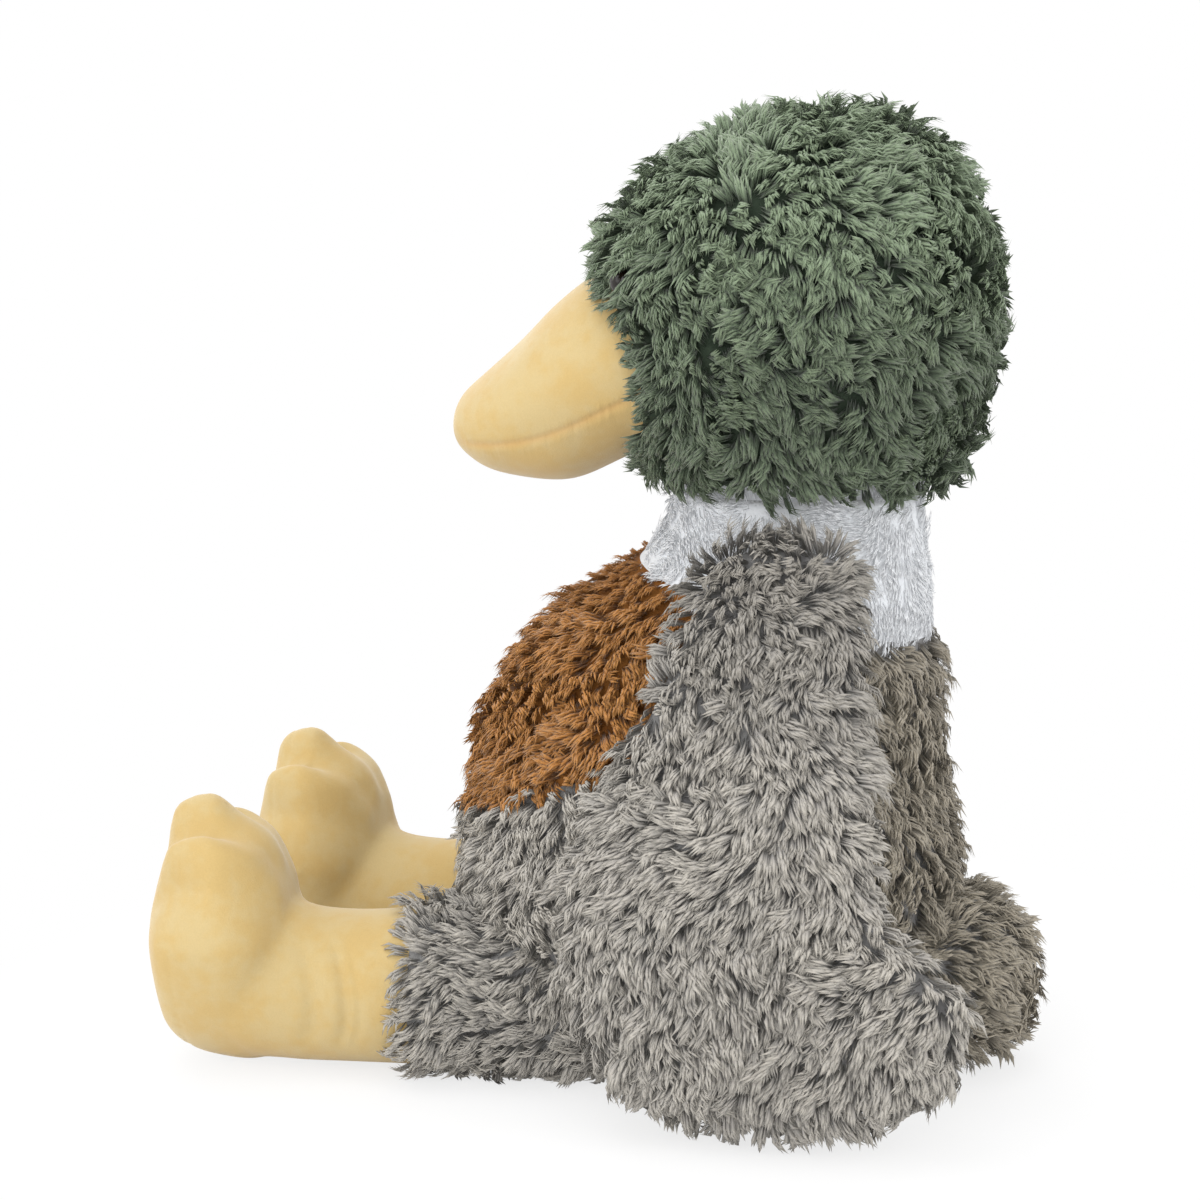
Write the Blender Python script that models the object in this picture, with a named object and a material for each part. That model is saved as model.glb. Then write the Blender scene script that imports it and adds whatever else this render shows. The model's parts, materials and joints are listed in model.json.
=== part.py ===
"""Seated stuffed duck: sewn plush and velour covers over their fillings, with soft joints.

Metres, +Z up. The duck looks along -Y, its left side is +X, and it sits on the plane z = 0.
The origin lies in the middle of the seat.
"""

import math

import bmesh
import bpy
from mathutils import Matrix, Vector

# Cloth and clearances
COVER = 0.003
VELOUR = 0.0022
SLEEVE_STEP = 0.0015
GAP = 0.0003
BALL_CLEARANCE = 0.0004
FLOOR_CUT = 0.0005
INNER_AROUND = 12
OVERRUN = 0.03
BIG = 0.6

# Body, from the seat up to the neck's rim
BODY_HEIGHT = 0.258
BODY_DEPTH = 0.221
BODY_WIDTH = 0.216
NECK_RADIUS = 0.058
NECK_SETBACK = 0.038
BODY_AROUND = 26
BODY_STEPS = 1
BODY_INNER_AROUND = 16
# Height, middle, half depth and half width, as shares of the height, depth, depth and width
BODY_SHARES = (
    (0.000, -0.005, 0.348, 0.324),
    (0.039, -0.005, 0.421, 0.398),
    (0.124, 0.004, 0.467, 0.468),
    (0.240, 0.009, 0.489, 0.498),
    (0.357, 0.007, 0.493, 0.500),
    (0.465, -0.001, 0.471, 0.481),
    (0.581, 0.005, 0.453, 0.444),
    (0.698, 0.038, 0.419, 0.394),
    (0.795, 0.097, 0.360, 0.340),
    (0.872, 0.147, 0.301, 0.296),
)
# Height and radius of the neck above them, as shares of the body's height and the neck's radius
NECK_SHARES = ((0.938, 1.03), (1.0, 1.0))

# Seams between the white band, the brown breast and the grey body
BAND_FRONT_HEIGHT = 0.222
BAND_SLOPE = math.radians(14)
BREAST_LOW_HEIGHT = 0.110
BREAST_LOW_SLOPE = math.radians(21)
BREAST_SIDE_REACH = 0.02

# Soft ball on which the head turns and nods
NECK_BALL_DROP = 0.043
NECK_BALL_MARGIN = 0.004
NECK_RECESS_EASE = 0.0008
NECK_PLUG_DEPTH = 0.036
BALL_AROUND = 24
NECK_DOME_STEPS = 7

# Head
HEAD_HEIGHT = 0.159
HEAD_DEPTH = 0.172
HEAD_WIDTH = 0.172
HEAD_SINK = 0.0015
HEAD_AROUND = 26
HEAD_STEPS = 1
HEAD_INNER_AROUND = 14
# Height, middle and half depth or width, as shares of the height, the depth and each of the two
HEAD_SHARES = (
    (0.000, 0.009, 0.322),
    (0.028, 0.009, 0.383),
    (0.116, 0.003, 0.428),
    (0.223, -0.009, 0.462),
    (0.349, -0.006, 0.491),
    (0.500, -0.006, 0.500),
    (0.645, -0.009, 0.483),
    (0.777, 0.006, 0.422),
    (0.884, 0.035, 0.329),
    (0.959, 0.055, 0.204),
    (1.000, 0.061, 0.081),
)

# Bill
BILL_LENGTH = 0.0855
BILL_HEIGHT = 0.087
BILL_WIDTH = 0.114
BILL_ROOT_DEPTH = 0.0195
BILL_TUCK = 0.010
BILL_PASSAGE_TUCK = 0.013
BILL_TIP_RISE = 0.022
BILL_AROUND = 20
BILL_STEPS = 2
BILL_SEAM_TIP_DROP = 0.0075
BILL_SEAM_SLOPE = math.radians(13)
# Distance from the root, middle height, half height and half width, as shares of its sizes
BILL_SHARES = (
    (0.000, 0.370, 0.490, 0.500),
    (0.234, 0.293, 0.499, 0.480),
    (0.444, 0.189, 0.453, 0.445),
    (0.643, 0.084, 0.359, 0.400),
    (0.819, 0.025, 0.267, 0.335),
    (0.953, 0.010, 0.165, 0.235),
    (1.000, 0.000, 0.079, 0.110),
)

# Eyes
EYE_RADIUS = 0.006
EYE_BULGE = 0.0045
EYE_TURN = math.radians(41)
EYE_HEIGHT_SHARE = 0.56
EYE_SHANK_RADIUS = 0.002
EYE_SHANK_LENGTH = 0.009
EYE_HOLE_CLEARANCE = 0.0004
EYE_AROUND = 12
EYE_DOME_STEPS = 4
WASHER_RADIUS = 0.0075
WASHER_THICKNESS = 0.0012
WASHER_BEDDING = 0.0006

# Wings, from the shoulder seam down to the lower edge
WING_LENGTH = 0.2300
WING_WIDTH = 0.164
WING_THICKNESS = 0.037
SHOULDER_HEIGHT = 0.2275
SHOULDER_SPREAD = 0.0775
SHOULDER_SETBACK = 0.045
WING_TOP_RISE = 0.0135
WING_SPREAD = 0.0505
WING_RIGHT_SWING = math.radians(-17)
WING_AROUND = 20
WING_STEPS = 1
WING_PORT = 0.016
# Distance down, middle behind the shoulder, half width, spread and half thickness, as shares of
# the length, the width, the width, the spread and the thickness
WING_SHARES = (
    (0.000, 0.024, 0.060, 0.000, 0.120),
    (0.016, 0.012, 0.146, 0.000, 0.280),
    (0.060, 0.000, 0.189, 0.000, 0.365),
    (0.129, -0.012, 0.213, 0.110, 0.400),
    (0.248, -0.024, 0.262, 0.405, 0.440),
    (0.359, -0.040, 0.308, 0.610, 0.470),
    (0.443, -0.061, 0.335, 0.745, 0.490),
    (0.599, -0.088, 0.381, 0.900, 0.500),
    (0.692, -0.034, 0.442, 0.960, 0.500),
    (0.745, 0.027, 0.497, 0.985, 0.500),
    (0.825, 0.043, 0.482, 1.000, 0.490),
    (0.900, 0.040, 0.430, 1.000, 0.450),
    (0.962, 0.030, 0.323, 0.990, 0.340),
    (1.000, 0.046, 0.168, 0.980, 0.180),
)

# Legs, from the hip forward along a slightly splayed line
HIP_SPREAD = 0.052
HIP_SETBACK = -0.018
HIP_RADIUS = 0.039
LEG_LEFT_SPLAY = math.radians(7)
LEG_RIGHT_SPLAY = math.radians(3)
LEG_SWING_IN = math.radians(3)
LEG_SWING_OUT = math.radians(10)
LEG_LENGTH = 0.188
LEG_THICKNESS = 0.075
CUFF_DISTANCE = 0.098
LEG_AROUND = 16
# Distance, middle height, half width and half height, as shares of the length and the thickness
LEG_SHARES = (
    (0.000, 0.513, 0.487, 0.500),
    (0.186, 0.513, 0.493, 0.500),
    (0.372, 0.505, 0.487, 0.493),
    (0.521, 0.487, 0.467, 0.480),
    (0.691, 0.473, 0.453, 0.467),
    (0.809, 0.493, 0.467, 0.487),
    (0.904, 0.590, 0.500, 0.576),
    (1.000, 0.690, 0.533, 0.676),
)
LEG_FINE_STEPS = 8
SLEEVE_SPANS = 4
SHANK_SPANS = 5

# Feet: an upright pad with three webbed toes
FOOT_HEIGHT = 0.122
FOOT_WIDTH = 0.094
FOOT_THICKNESS = 0.0595
FOOT_SETBACK = 0.0345
SOLE_SEAM_DEPTH = 0.0135
TOE_TURN = math.radians(42)
TOE_NOTCH_SHARE = 0.13
HEEL_TAPER_SHARE = 0.26
FOOT_AROUND = 36
FOOT_INNER_AROUND = 24
# Distance through the foot and size of the outline there, as shares
FOOT_SHARES = (
    (0.000, 0.50),
    (0.134, 0.80),
    (0.303, 0.96),
    (0.471, 1.00),
    (0.639, 0.985),
    (0.807, 0.95),
    (0.933, 0.86),
    (1.000, 0.66),
)

# Tail
TAIL_LENGTH = 0.0585
TAIL_HEIGHT = 0.074
TAIL_WIDTH = 0.090
TAIL_ROOT_DEPTH = 0.0255
TAIL_LOW = 0.006
TAIL_AROUND = 20
TAIL_STEPS = 1
# Distance, middle height, half height and half width, as shares
TAIL_SHARES = (
    (0.000, 0.515, 0.486, 0.500),
    (0.342, 0.505, 0.500, 0.500),
    (0.632, 0.495, 0.480, 0.450),
    (0.855, 0.470, 0.385, 0.340),
    (0.957, 0.445, 0.265, 0.220),
    (1.000, 0.430, 0.125, 0.110),
)

# Pellet bag in the seat
BAG_LENGTH = 0.066
BAG_WIDTH = 0.110
BAG_HEIGHT = 0.040
BAG_SETBACK = 0.047
BAG_AROUND = 20
# Height and size, as shares
BAG_SHARES = ((0.0, 0.74), (0.2, 0.93), (0.5, 1.0), (0.8, 0.84), (1.0, 0.45))

LEFT, RIGHT = 1, -1
SIDES = ((LEFT, "left"), (RIGHT, "right"))
UPRIGHT = Matrix.Identity(4)


def clear_scene():
    for obj in list(bpy.data.objects):
        bpy.data.objects.remove(obj, do_unlink=True)


def finish(name, colour, roughness):
    """A plain material for one kind of cloth or plastic."""
    made = bpy.data.materials.new(name)
    made.use_nodes = True
    shader = made.node_tree.nodes["Principled BSDF"]
    shader.inputs["Base Color"].default_value = (*colour, 1.0)
    shader.inputs["Roughness"].default_value = roughness
    shader.inputs["Metallic"].default_value = 0.0
    return made


def new_object(name, bm, material=None):
    """An object from a closed bmesh, its faces turned outward and shaded smooth."""
    bm.normal_update()
    bmesh.ops.recalc_face_normals(bm, faces=bm.faces)
    mesh = bpy.data.meshes.new(name)
    bm.to_mesh(mesh)
    bm.free()
    obj = bpy.data.objects.new(name, mesh)
    bpy.context.scene.collection.objects.link(obj)
    mesh.shade_smooth()
    mesh.set_sharp_from_angle(angle=math.radians(40))
    if material:
        mesh.materials.append(material)
    return obj


def helper(obj):
    """Marks a cutter or a guide, which isn't a piece of the toy."""
    obj.hide_render = True
    obj.display_type = "WIRE"
    return obj


def shape_with(obj, operation, *others):
    for other in others:
        modifier = obj.modifiers.new(operation.lower(), "BOOLEAN")
        modifier.operation = operation
        modifier.solver = "EXACT"
        modifier.object = other
    return obj


def cut(obj, *cutters):
    return shape_with(obj, "DIFFERENCE", *cutters)


def join(obj, *others):
    return shape_with(obj, "UNION", *others)


def keep(obj, *regions):
    return shape_with(obj, "INTERSECT", *regions)


def smooth_rows(rows, steps):
    """The rows and steps - 1 more in each span, on a smooth curve through them."""
    found = []
    last = len(rows) - 1
    for i in range(last):
        before, here, after, beyond = (rows[max(0, min(last, i + k))] for k in (-1, 0, 1, 2))
        for step in range(steps):
            t = step / steps
            found.append(
                tuple(
                    b + t * (c - a + t * (2 * a - 5 * b + 4 * c - d + t * (3 * (b - c) + d - a))) / 2
                    for a, b, c, d in zip(before, here, after, beyond)
                )
            )
    found.append(rows[last])
    return found


def inset_rows(rows, inset, open_start=False, open_end=False):
    """Rows of (along, middle a, middle b, half a, half b) moved inward, square to the surface."""
    if not inset:
        return rows
    found = []
    last = len(rows) - 1
    for i, (along, mid_a, mid_b, half_a, half_b) in enumerate(rows):
        low, high = rows[max(0, i - 1)], rows[min(last, i + 1)]
        run = high[0] - low[0]
        rise = (high[3] + high[4] - low[3] - low[4]) / 2
        length = math.hypot(run, rise)
        shift = inset * rise / length
        if i == 0:
            shift = 0.0 if open_start else inset
        if i == last:
            shift = 0.0 if open_end else -inset
        shrink = inset * abs(run) / length
        found.append((along + shift, mid_a, mid_b, half_a - shrink, half_b - shrink))
    return found


def oval(turn):
    return math.cos(turn), math.sin(turn)


def around_it(around):
    """What makes a polygon with this many sides lie wholly outside its circle."""
    return 1 / math.cos(math.pi / around)


def skin(bm, rings):
    """Triangles between rings, all split the same way, so that nested forms stay apart."""
    for lower, upper in zip(rings, rings[1:]):
        for k in range(len(lower)):
            m = (k + 1) % len(lower)
            bm.faces.new((lower[k], lower[m], upper[m]))
            bm.faces.new((lower[k], upper[m], upper[k]))


def loft(name, rows, around, frame=UPRIGHT, outline=oval, material=None):
    """A closed form through ovals of (along, middle a, middle b, half a, half b) in the frame's z, x, y."""
    bm = bmesh.new()
    rings = []
    for along, mid_a, mid_b, half_a, half_b in rows:
        ring = []
        for k in range(around):
            a, b = outline(math.tau * k / around)
            ring.append(bm.verts.new(frame @ Vector((mid_a + half_a * a, mid_b + half_b * b, along))))
        rings.append(ring)
    skin(bm, rings)
    bm.faces.new(rings[0])
    bm.faces.new(rings[-1])
    return new_object(name, bm, material)


def turned(name, profile, around, frame=UPRIGHT, material=None):
    """A closed solid of revolution about the frame's z, from (radius, height) points, ends on the axis."""
    bm = bmesh.new()
    bottom = bm.verts.new(frame @ Vector((0, 0, profile[0][1])))
    top = bm.verts.new(frame @ Vector((0, 0, profile[-1][1])))
    rings = []
    for radius, height in profile[1:-1]:
        turns = [math.tau * k / around for k in range(around)]
        points = [Vector((radius * math.cos(t), radius * math.sin(t), height)) for t in turns]
        rings.append([bm.verts.new(frame @ point) for point in points])
    skin(bm, rings)
    for k in range(around):
        m = (k + 1) % around
        bm.faces.new((bottom, rings[0][m], rings[0][k]))
        bm.faces.new((top, rings[-1][k], rings[-1][m]))
    return new_object(name, bm, material)


def arc(radius, centre, start, end, steps):
    """Points (radius, height) of an arc about the axis point at this height, angles from the axis."""
    turns = [start + (end - start) * k / steps for k in range(steps + 1)]
    return [(radius * math.sin(t), centre + radius * math.cos(t)) for t in turns]


def ball(name, centre, radius, around):
    """A whole sphere about a point."""
    return turned(
        name, arc(radius, 0.0, math.pi, 0.0, around // 2), around, Matrix.Translation(centre)
    )


def block(name, low, high, frame=UPRIGHT):
    """A box between two corners of a frame."""
    bm = bmesh.new()
    bmesh.ops.create_cube(bm, size=1.0)
    for vertex in bm.verts:
        corner = [high[i] if vertex.co[i] > 0 else low[i] for i in range(3)]
        vertex.co = frame @ Vector(corner)
    return helper(new_object(name, bm))


def cylinder(name, radius, low, high, frame, around=EYE_AROUND):
    return helper(turned(name, [(0, low), (radius, low), (radius, high), (0, high)], around, frame))


def joint_frame(name, centre):
    """An empty on a joint's axis, which carries the pieces that move with it."""
    empty = bpy.data.objects.new(name, None)
    empty.location = centre
    bpy.context.scene.collection.objects.link(empty)
    return empty


def carry(empty, *pieces):
    for piece in pieces:
        piece.parent = empty
        piece.matrix_parent_inverse = Matrix.Translation(-empty.location)


def body_rows(inset=0.0, open_top=False, steps=BODY_STEPS):
    rows = [
        (h * BODY_HEIGHT, 0.0, mid * BODY_DEPTH, wide * BODY_WIDTH, deep * BODY_DEPTH)
        for h, mid, deep, wide in BODY_SHARES
    ]
    rows += [
        (h * BODY_HEIGHT, 0.0, NECK_SETBACK, r * NECK_RADIUS, r * NECK_RADIUS)
        for h, r in NECK_SHARES
    ]
    rows = inset_rows(smooth_rows(rows, steps), inset, open_end=open_top)
    if open_top:
        along, *rest = rows[-1]
        rows.append((along + OVERRUN, *rest))
    return rows


def neck_ball_centre():
    return Vector((0.0, NECK_SETBACK, BODY_HEIGHT - NECK_BALL_DROP))


def neck_ball_radius():
    return math.hypot(NECK_RADIUS, NECK_BALL_DROP) + NECK_BALL_MARGIN


def head_base():
    return Vector((0.0, NECK_SETBACK, BODY_HEIGHT - HEAD_SINK))


def head_rows(inset=0.0, steps=HEAD_STEPS):
    base = head_base()
    rows = [
        (base.z + h * HEAD_HEIGHT, 0.0, base.y + mid * HEAD_DEPTH, r * HEAD_WIDTH, r * HEAD_DEPTH)
        for h, mid, r in HEAD_SHARES
    ]
    return inset_rows(smooth_rows(rows, steps), inset)


def bill_frame():
    """Its z runs forward along -Y from the bill's root, its x to the duck's left and its y up."""
    base = head_base()
    root = Vector((0.0, base.y - HEAD_DEPTH / 2 + BILL_ROOT_DEPTH, base.z + BILL_TIP_RISE))
    return Matrix.Translation(root) @ Matrix.Rotation(math.pi / 2, 4, "X")


def bill_rows(inset=0.0, steps=1, tuck=BILL_TUCK):
    """From inside the head, where the bill is tucked in, to the tip."""
    rows = [
        (s * BILL_LENGTH, 0.0, mid * BILL_HEIGHT, wide * BILL_WIDTH, high * BILL_HEIGHT)
        for s, mid, high, wide in BILL_SHARES
    ]
    rows = inset_rows(smooth_rows(rows, steps), inset, open_start=True)
    return [(-tuck, *rows[0][1:])] + rows


def eye_frame(side):
    """Its origin lies on the head's surface and its z points straight out of it."""
    rows = head_rows()
    height = rows[0][0] + EYE_HEIGHT_SHARE * HEAD_HEIGHT
    for low, high in zip(rows, rows[1:]):
        if low[0] <= height <= high[0]:
            t = (height - low[0]) / (high[0] - low[0])
            _, _, mid, half_x, half_y = (a + t * (b - a) for a, b in zip(low, high))
            lean = (low[3] - high[3]) / (high[0] - low[0])
    out = Vector((side * math.sin(EYE_TURN), -math.cos(EYE_TURN), lean)).normalized()
    place = Vector((side * half_x * math.sin(EYE_TURN), mid - half_y * math.cos(EYE_TURN), height))
    return Matrix.Translation(place) @ out.to_track_quat("Z", "Y").to_matrix().to_4x4()


def shoulder(side):
    return Vector((side * SHOULDER_SPREAD, SHOULDER_SETBACK, SHOULDER_HEIGHT))


def wing_frame(side):
    """Its z runs down from the shoulder, its x out to the side and its y back."""
    swing = Matrix.Rotation(WING_RIGHT_SWING if side == RIGHT else 0.0, 4, "X")
    axes = Matrix(((side, 0, 0, 0), (0, 1, 0, 0), (0, 0, -1, 0), (0, 0, 0, 1)))
    return Matrix.Translation(shoulder(side)) @ swing @ axes


def wing_rows(inset=0.0):
    rows = [
        (
            s * WING_LENGTH - WING_TOP_RISE,
            out * WING_SPREAD,
            mid * WING_WIDTH,
            thick * WING_THICKNESS,
            wide * WING_WIDTH,
        )
        for s, mid, wide, out, thick in WING_SHARES
    ]
    return inset_rows(smooth_rows(rows, WING_STEPS), inset)


def hip(side):
    return Vector((side * HIP_SPREAD, HIP_SETBACK, HIP_RADIUS - FLOOR_CUT))


def leg_frame(side, swing=0.0):
    """Its z runs forward from the hip, its x out to the side and its y up from the floor."""
    splay = LEG_LEFT_SPLAY if side == LEFT else LEG_RIGHT_SPLAY
    turn = Matrix.Rotation(side * (splay + swing), 4, "Z")
    axes = Matrix(((side, 0, 0, 0), (0, 0, -1, 0), (0, 1, 0, 0), (0, 0, 0, 1)))
    return Matrix.Translation(hip(side) - Vector((0, 0, hip(side).z))) @ turn @ axes


def leg_rows(first, last, inset=0.0, steps=1):
    """Ovals of the leg between two distances from the hip."""
    rows = [
        (s * LEG_LENGTH, 0.0, mid * LEG_THICKNESS, wide * LEG_THICKNESS, high * LEG_THICKNESS)
        for s, mid, wide, high in LEG_SHARES
    ]
    fine = smooth_rows(rows, LEG_FINE_STEPS)
    found = []
    for k in range(steps + 1):
        along = first + (last - first) * k / steps
        place = min(max(along, fine[0][0]), fine[-1][0])
        for low, high in zip(fine, fine[1:]):
            if low[0] <= place <= high[0]:
                t = (place - low[0]) / (high[0] - low[0])
                row = [a + t * (b - a) for a, b in zip(low, high)]
        found.append((along, row[1], row[2], row[3] - inset, row[4] - inset))
    return found


def webbed(angle):
    """The foot's outline: narrow at the heel, with a notch on each side of the middle toe."""
    cosine, sine = math.cos(angle), math.sin(angle)
    turn = math.atan2(cosine, sine)
    size = 1.0
    if abs(turn) < 1.5 * TOE_TURN:
        size -= TOE_NOTCH_SHARE * (1 - math.cos(math.tau * turn / TOE_TURN)) / 2
    elif sine > 0:
        size -= TOE_NOTCH_SHARE * (math.pi / 2 - abs(turn)) / (math.pi / 2 - 1.5 * TOE_TURN)
    narrow = 1 - HEEL_TAPER_SHARE * max(0.0, -sine)
    return size * narrow * cosine, size * sine


def foot_rows(inset=0.0):
    middle = FOOT_HEIGHT / 2 - FLOOR_CUT
    back = LEG_LENGTH - FOOT_SETBACK
    rows = [
        (
            back + s * FOOT_THICKNESS,
            0.0,
            middle,
            size * FOOT_WIDTH / 2,
            size * FOOT_HEIGHT / 2,
        )
        for s, size in FOOT_SHARES
    ]
    return inset_rows(rows, inset)


def tail_frame():
    """Its z runs back from inside the body, its x to the left and its y up."""
    root = Vector((0.0, BODY_DEPTH / 2 - TAIL_ROOT_DEPTH, TAIL_LOW))
    axes = Matrix(((1, 0, 0, 0), (0, 0, 1, 0), (0, 1, 0, 0), (0, 0, 0, 1)))
    return Matrix.Translation(root) @ axes


def tail_rows(inset=0.0):
    rows = [
        (s * TAIL_LENGTH, 0.0, mid * TAIL_HEIGHT, wide * TAIL_WIDTH, high * TAIL_HEIGHT)
        for s, mid, high, wide in TAIL_SHARES
    ]
    return inset_rows(smooth_rows(rows, TAIL_STEPS), inset, open_start=True)


def body_form(name, inset=0.0, open_top=False, steps=BODY_STEPS, around=BODY_AROUND, material=None):
    return loft(name, body_rows(inset, open_top, steps), around, material=material)


def body_cavity():
    """The space inside the body's cover, open at the neck."""
    return helper(body_form("body_cavity", COVER, open_top=True, around=BODY_INNER_AROUND))


def band_region(name, lower_by=0.0):
    """Everything above the sloping seam under the white band."""
    place = Vector((0.0, BODY_SHARES[-1][1] * BODY_DEPTH - NECK_RADIUS, BAND_FRONT_HEIGHT - lower_by))
    frame = Matrix.Translation(place) @ Matrix.Rotation(-BAND_SLOPE, 4, "X")
    return block(name, (-BIG, -BIG, 0.0), (BIG, BIG, BIG), frame)


def breast_region(name, grow=0.0):
    """The front of the body above the breast's lower seam, which rises towards the back."""
    front = Vector((0.0, -BODY_DEPTH / 2, BREAST_LOW_HEIGHT))
    frame = Matrix.Translation(front) @ Matrix.Rotation(BREAST_LOW_SLOPE, 4, "X")
    above = block(name, (-BIG, -BIG, -grow), (BIG, BIG, BIG), frame)
    side_seam = BREAST_SIDE_REACH + grow
    return keep(above, block(f"{name}_limit", (-BIG, -BIG, -BIG), (BIG, side_seam, BIG)))


def leg_spaces(name, grow):
    """What the legs fill in the body through their whole swing: a ball and a flat fan at each hip."""
    middle = (LEG_SWING_OUT - LEG_SWING_IN) / 2
    reach = (LEG_SWING_OUT + LEG_SWING_IN) / 2
    spaces = []
    for side, word in SIDES:
        radius = (HIP_RADIUS + grow) * around_it(LEG_AROUND) ** 2
        space = ball(f"{name}_hip_{word}", hip(side), radius, LEG_AROUND)
        rows = leg_rows(0.0, CUFF_DISTANCE + OVERRUN, -SLEEVE_STEP - grow, SLEEVE_SPANS)
        frame = leg_frame(side, middle)
        fan = fan_form(f"{name}_fan_{word}", rows, reach, frame)
        spaces.append(helper(join(space, fan)))
    return spaces


def fan_form(name, rows, reach, frame):
    """The space of a tube that swings by reach to each side about the frame's origin."""
    bm = bmesh.new()
    rings = []
    roomy = around_it(LEG_AROUND)
    for along, mid_a, mid_b, half_a, half_b in rows:
        spread = along * math.tan(reach)
        ring = []
        for k in range(LEG_AROUND):
            turn = math.tau * (k + 0.5) / LEG_AROUND
            a = mid_a + roomy * half_a / math.cos(reach) * math.cos(turn)
            a += math.copysign(spread, math.cos(turn))
            ring.append(bm.verts.new(frame @ Vector((a, mid_b + roomy * half_b * math.sin(turn), along))))
        rings.append(ring)
    skin(bm, rings)
    bm.faces.new(rings[0])
    bm.faces.new(rings[-1])
    return helper(new_object(name, bm))


def make_body(grey, brown, white, fibre, calico):
    cavity = body_cavity()
    spaces = leg_spaces("leg_space", BALL_CLEARANCE)

    body_cover = body_form("body_cover", material=grey)
    cut(body_cover, cavity, band_region("band_above"), breast_region("breast_front", GAP), *spaces)

    breast = body_form("breast_panel", material=brown)
    cut(breast, cavity, band_region("band_above_breast", GAP))
    keep(breast, breast_region("breast_space"))
    cut(body_cover, band_region("band_above_body", GAP))

    band = body_form("neck_band", material=white)
    cut(band, cavity)
    keep(band, band_region("band_space"))

    centre = neck_ball_centre()
    radius = neck_ball_radius() - BALL_CLEARANCE
    plug = (NECK_RADIUS - COVER) / around_it(BODY_INNER_AROUND) - BALL_CLEARANCE
    lip = math.asin(plug / radius)
    profile = [(0.0, BODY_HEIGHT - NECK_PLUG_DEPTH), (plug, BODY_HEIGHT - NECK_PLUG_DEPTH)]
    profile = [(r, z - centre.z) for r, z in profile] + arc(radius, 0.0, lip, 0.0, NECK_DOME_STEPS)
    turned("neck_filling", profile, BALL_AROUND, Matrix.Translation(centre), fibre)

    filling = body_form(
        "body_filling", COVER + GAP, open_top=True, around=BODY_INNER_AROUND, material=fibre
    )
    above = block("above_body_filling", (-BIG, -BIG, BODY_HEIGHT - NECK_PLUG_DEPTH - GAP), (BIG, BIG, BIG))
    bag_space = helper(bag_form("pellet_bag_space", GAP))
    cut(filling, above, bag_space, *leg_spaces("leg_room", BALL_CLEARANCE + GAP))
    bag_form("pellet_bag", 0.0, calico)


def bag_form(name, grow, material=None):
    """The cloth bag of pellets that weighs the seat down, lying on the body's cover."""
    low = COVER + GAP
    rows = [
        (low + h * BAG_HEIGHT, 0.0, BAG_SETBACK, r * BAG_WIDTH / 2, r * BAG_LENGTH / 2)
        for h, r in BAG_SHARES
    ]
    rows = inset_rows(rows, -grow)
    if grow:
        along, *rest = rows[0]
        rows[0] = (along - COVER, *rest)
    return loft(name, rows, BAG_AROUND, material=material)


def make_head(green, cream, black, steel, fibre):
    radius = neck_ball_radius() + NECK_RECESS_EASE
    recess = helper(ball("neck_ball_space", neck_ball_centre(), radius, BALL_AROUND))
    cavity = helper(loft("head_cavity", head_rows(COVER), HEAD_INNER_AROUND))
    passage = bill_rows(VELOUR, tuck=BILL_PASSAGE_TUCK)
    mouth = helper(loft("bill_passage", passage, INNER_AROUND, bill_frame()))

    head = loft("head_cover", head_rows(), HEAD_AROUND, material=green)
    cut(head, cavity, recess, mouth)
    filling = loft("head_filling", head_rows(COVER + GAP), HEAD_INNER_AROUND, material=fibre)
    cut(filling, recess)
    pieces = [head, filling]

    outside = helper(loft("head_outside", head_rows(-GAP), HEAD_AROUND))
    lining = helper(loft("head_inside", head_rows(COVER), HEAD_INNER_AROUND))
    frame = bill_frame()
    seam = bill_seam_frame()
    for name, above in (("bill_upper", True), ("bill_lower", False)):
        panel = loft(name, bill_rows(steps=BILL_STEPS), BILL_AROUND, frame, material=cream)
        cut(panel, mouth, outside)
        if above:
            keep(panel, block("bill_upper_space", (-BIG, -BIG, 0.0), (BIG, BIG, BIG), seam))
        else:
            cut(panel, block("bill_lower_limit", (-BIG, -BIG, -GAP), (BIG, BIG, BIG), seam))
        pieces.append(panel)
    bill_filling = loft("bill_filling", bill_rows(VELOUR + GAP), INNER_AROUND, frame, material=fibre)
    cut(bill_filling, lining)
    pieces.append(bill_filling)

    for side, word in SIDES:
        place = eye_frame(side)
        hole = EYE_SHANK_RADIUS + EYE_HOLE_CLEARANCE
        wide = WASHER_RADIUS + GAP
        low = -EYE_SHANK_LENGTH - WASHER_THICKNESS
        bed = GAP - COVER - WASHER_BEDDING
        profile = [(0.0, low), (wide, low), (wide, bed), (hole, bed), (hole, EYE_BULGE), (0.0, EYE_BULGE)]
        cut(head, helper(turned(f"eye_space_{word}", profile, EYE_AROUND, place)))
        pocket = cylinder(f"eye_pocket_{word}", wide, low, 0.0, place)
        cut(filling, pocket)
        pieces += [make_eye(word, place, black), make_washer(word, place, steel)]
    return pieces


def bill_seam_frame():
    """A plane through the bill's side seam, its z pointing up out of it."""
    frame = bill_frame()
    tip = frame @ Vector((0.0, -BILL_SEAM_TIP_DROP, BILL_LENGTH))
    return Matrix.Translation(tip) @ Matrix.Rotation(BILL_SEAM_SLOPE, 4, "X")


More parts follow.
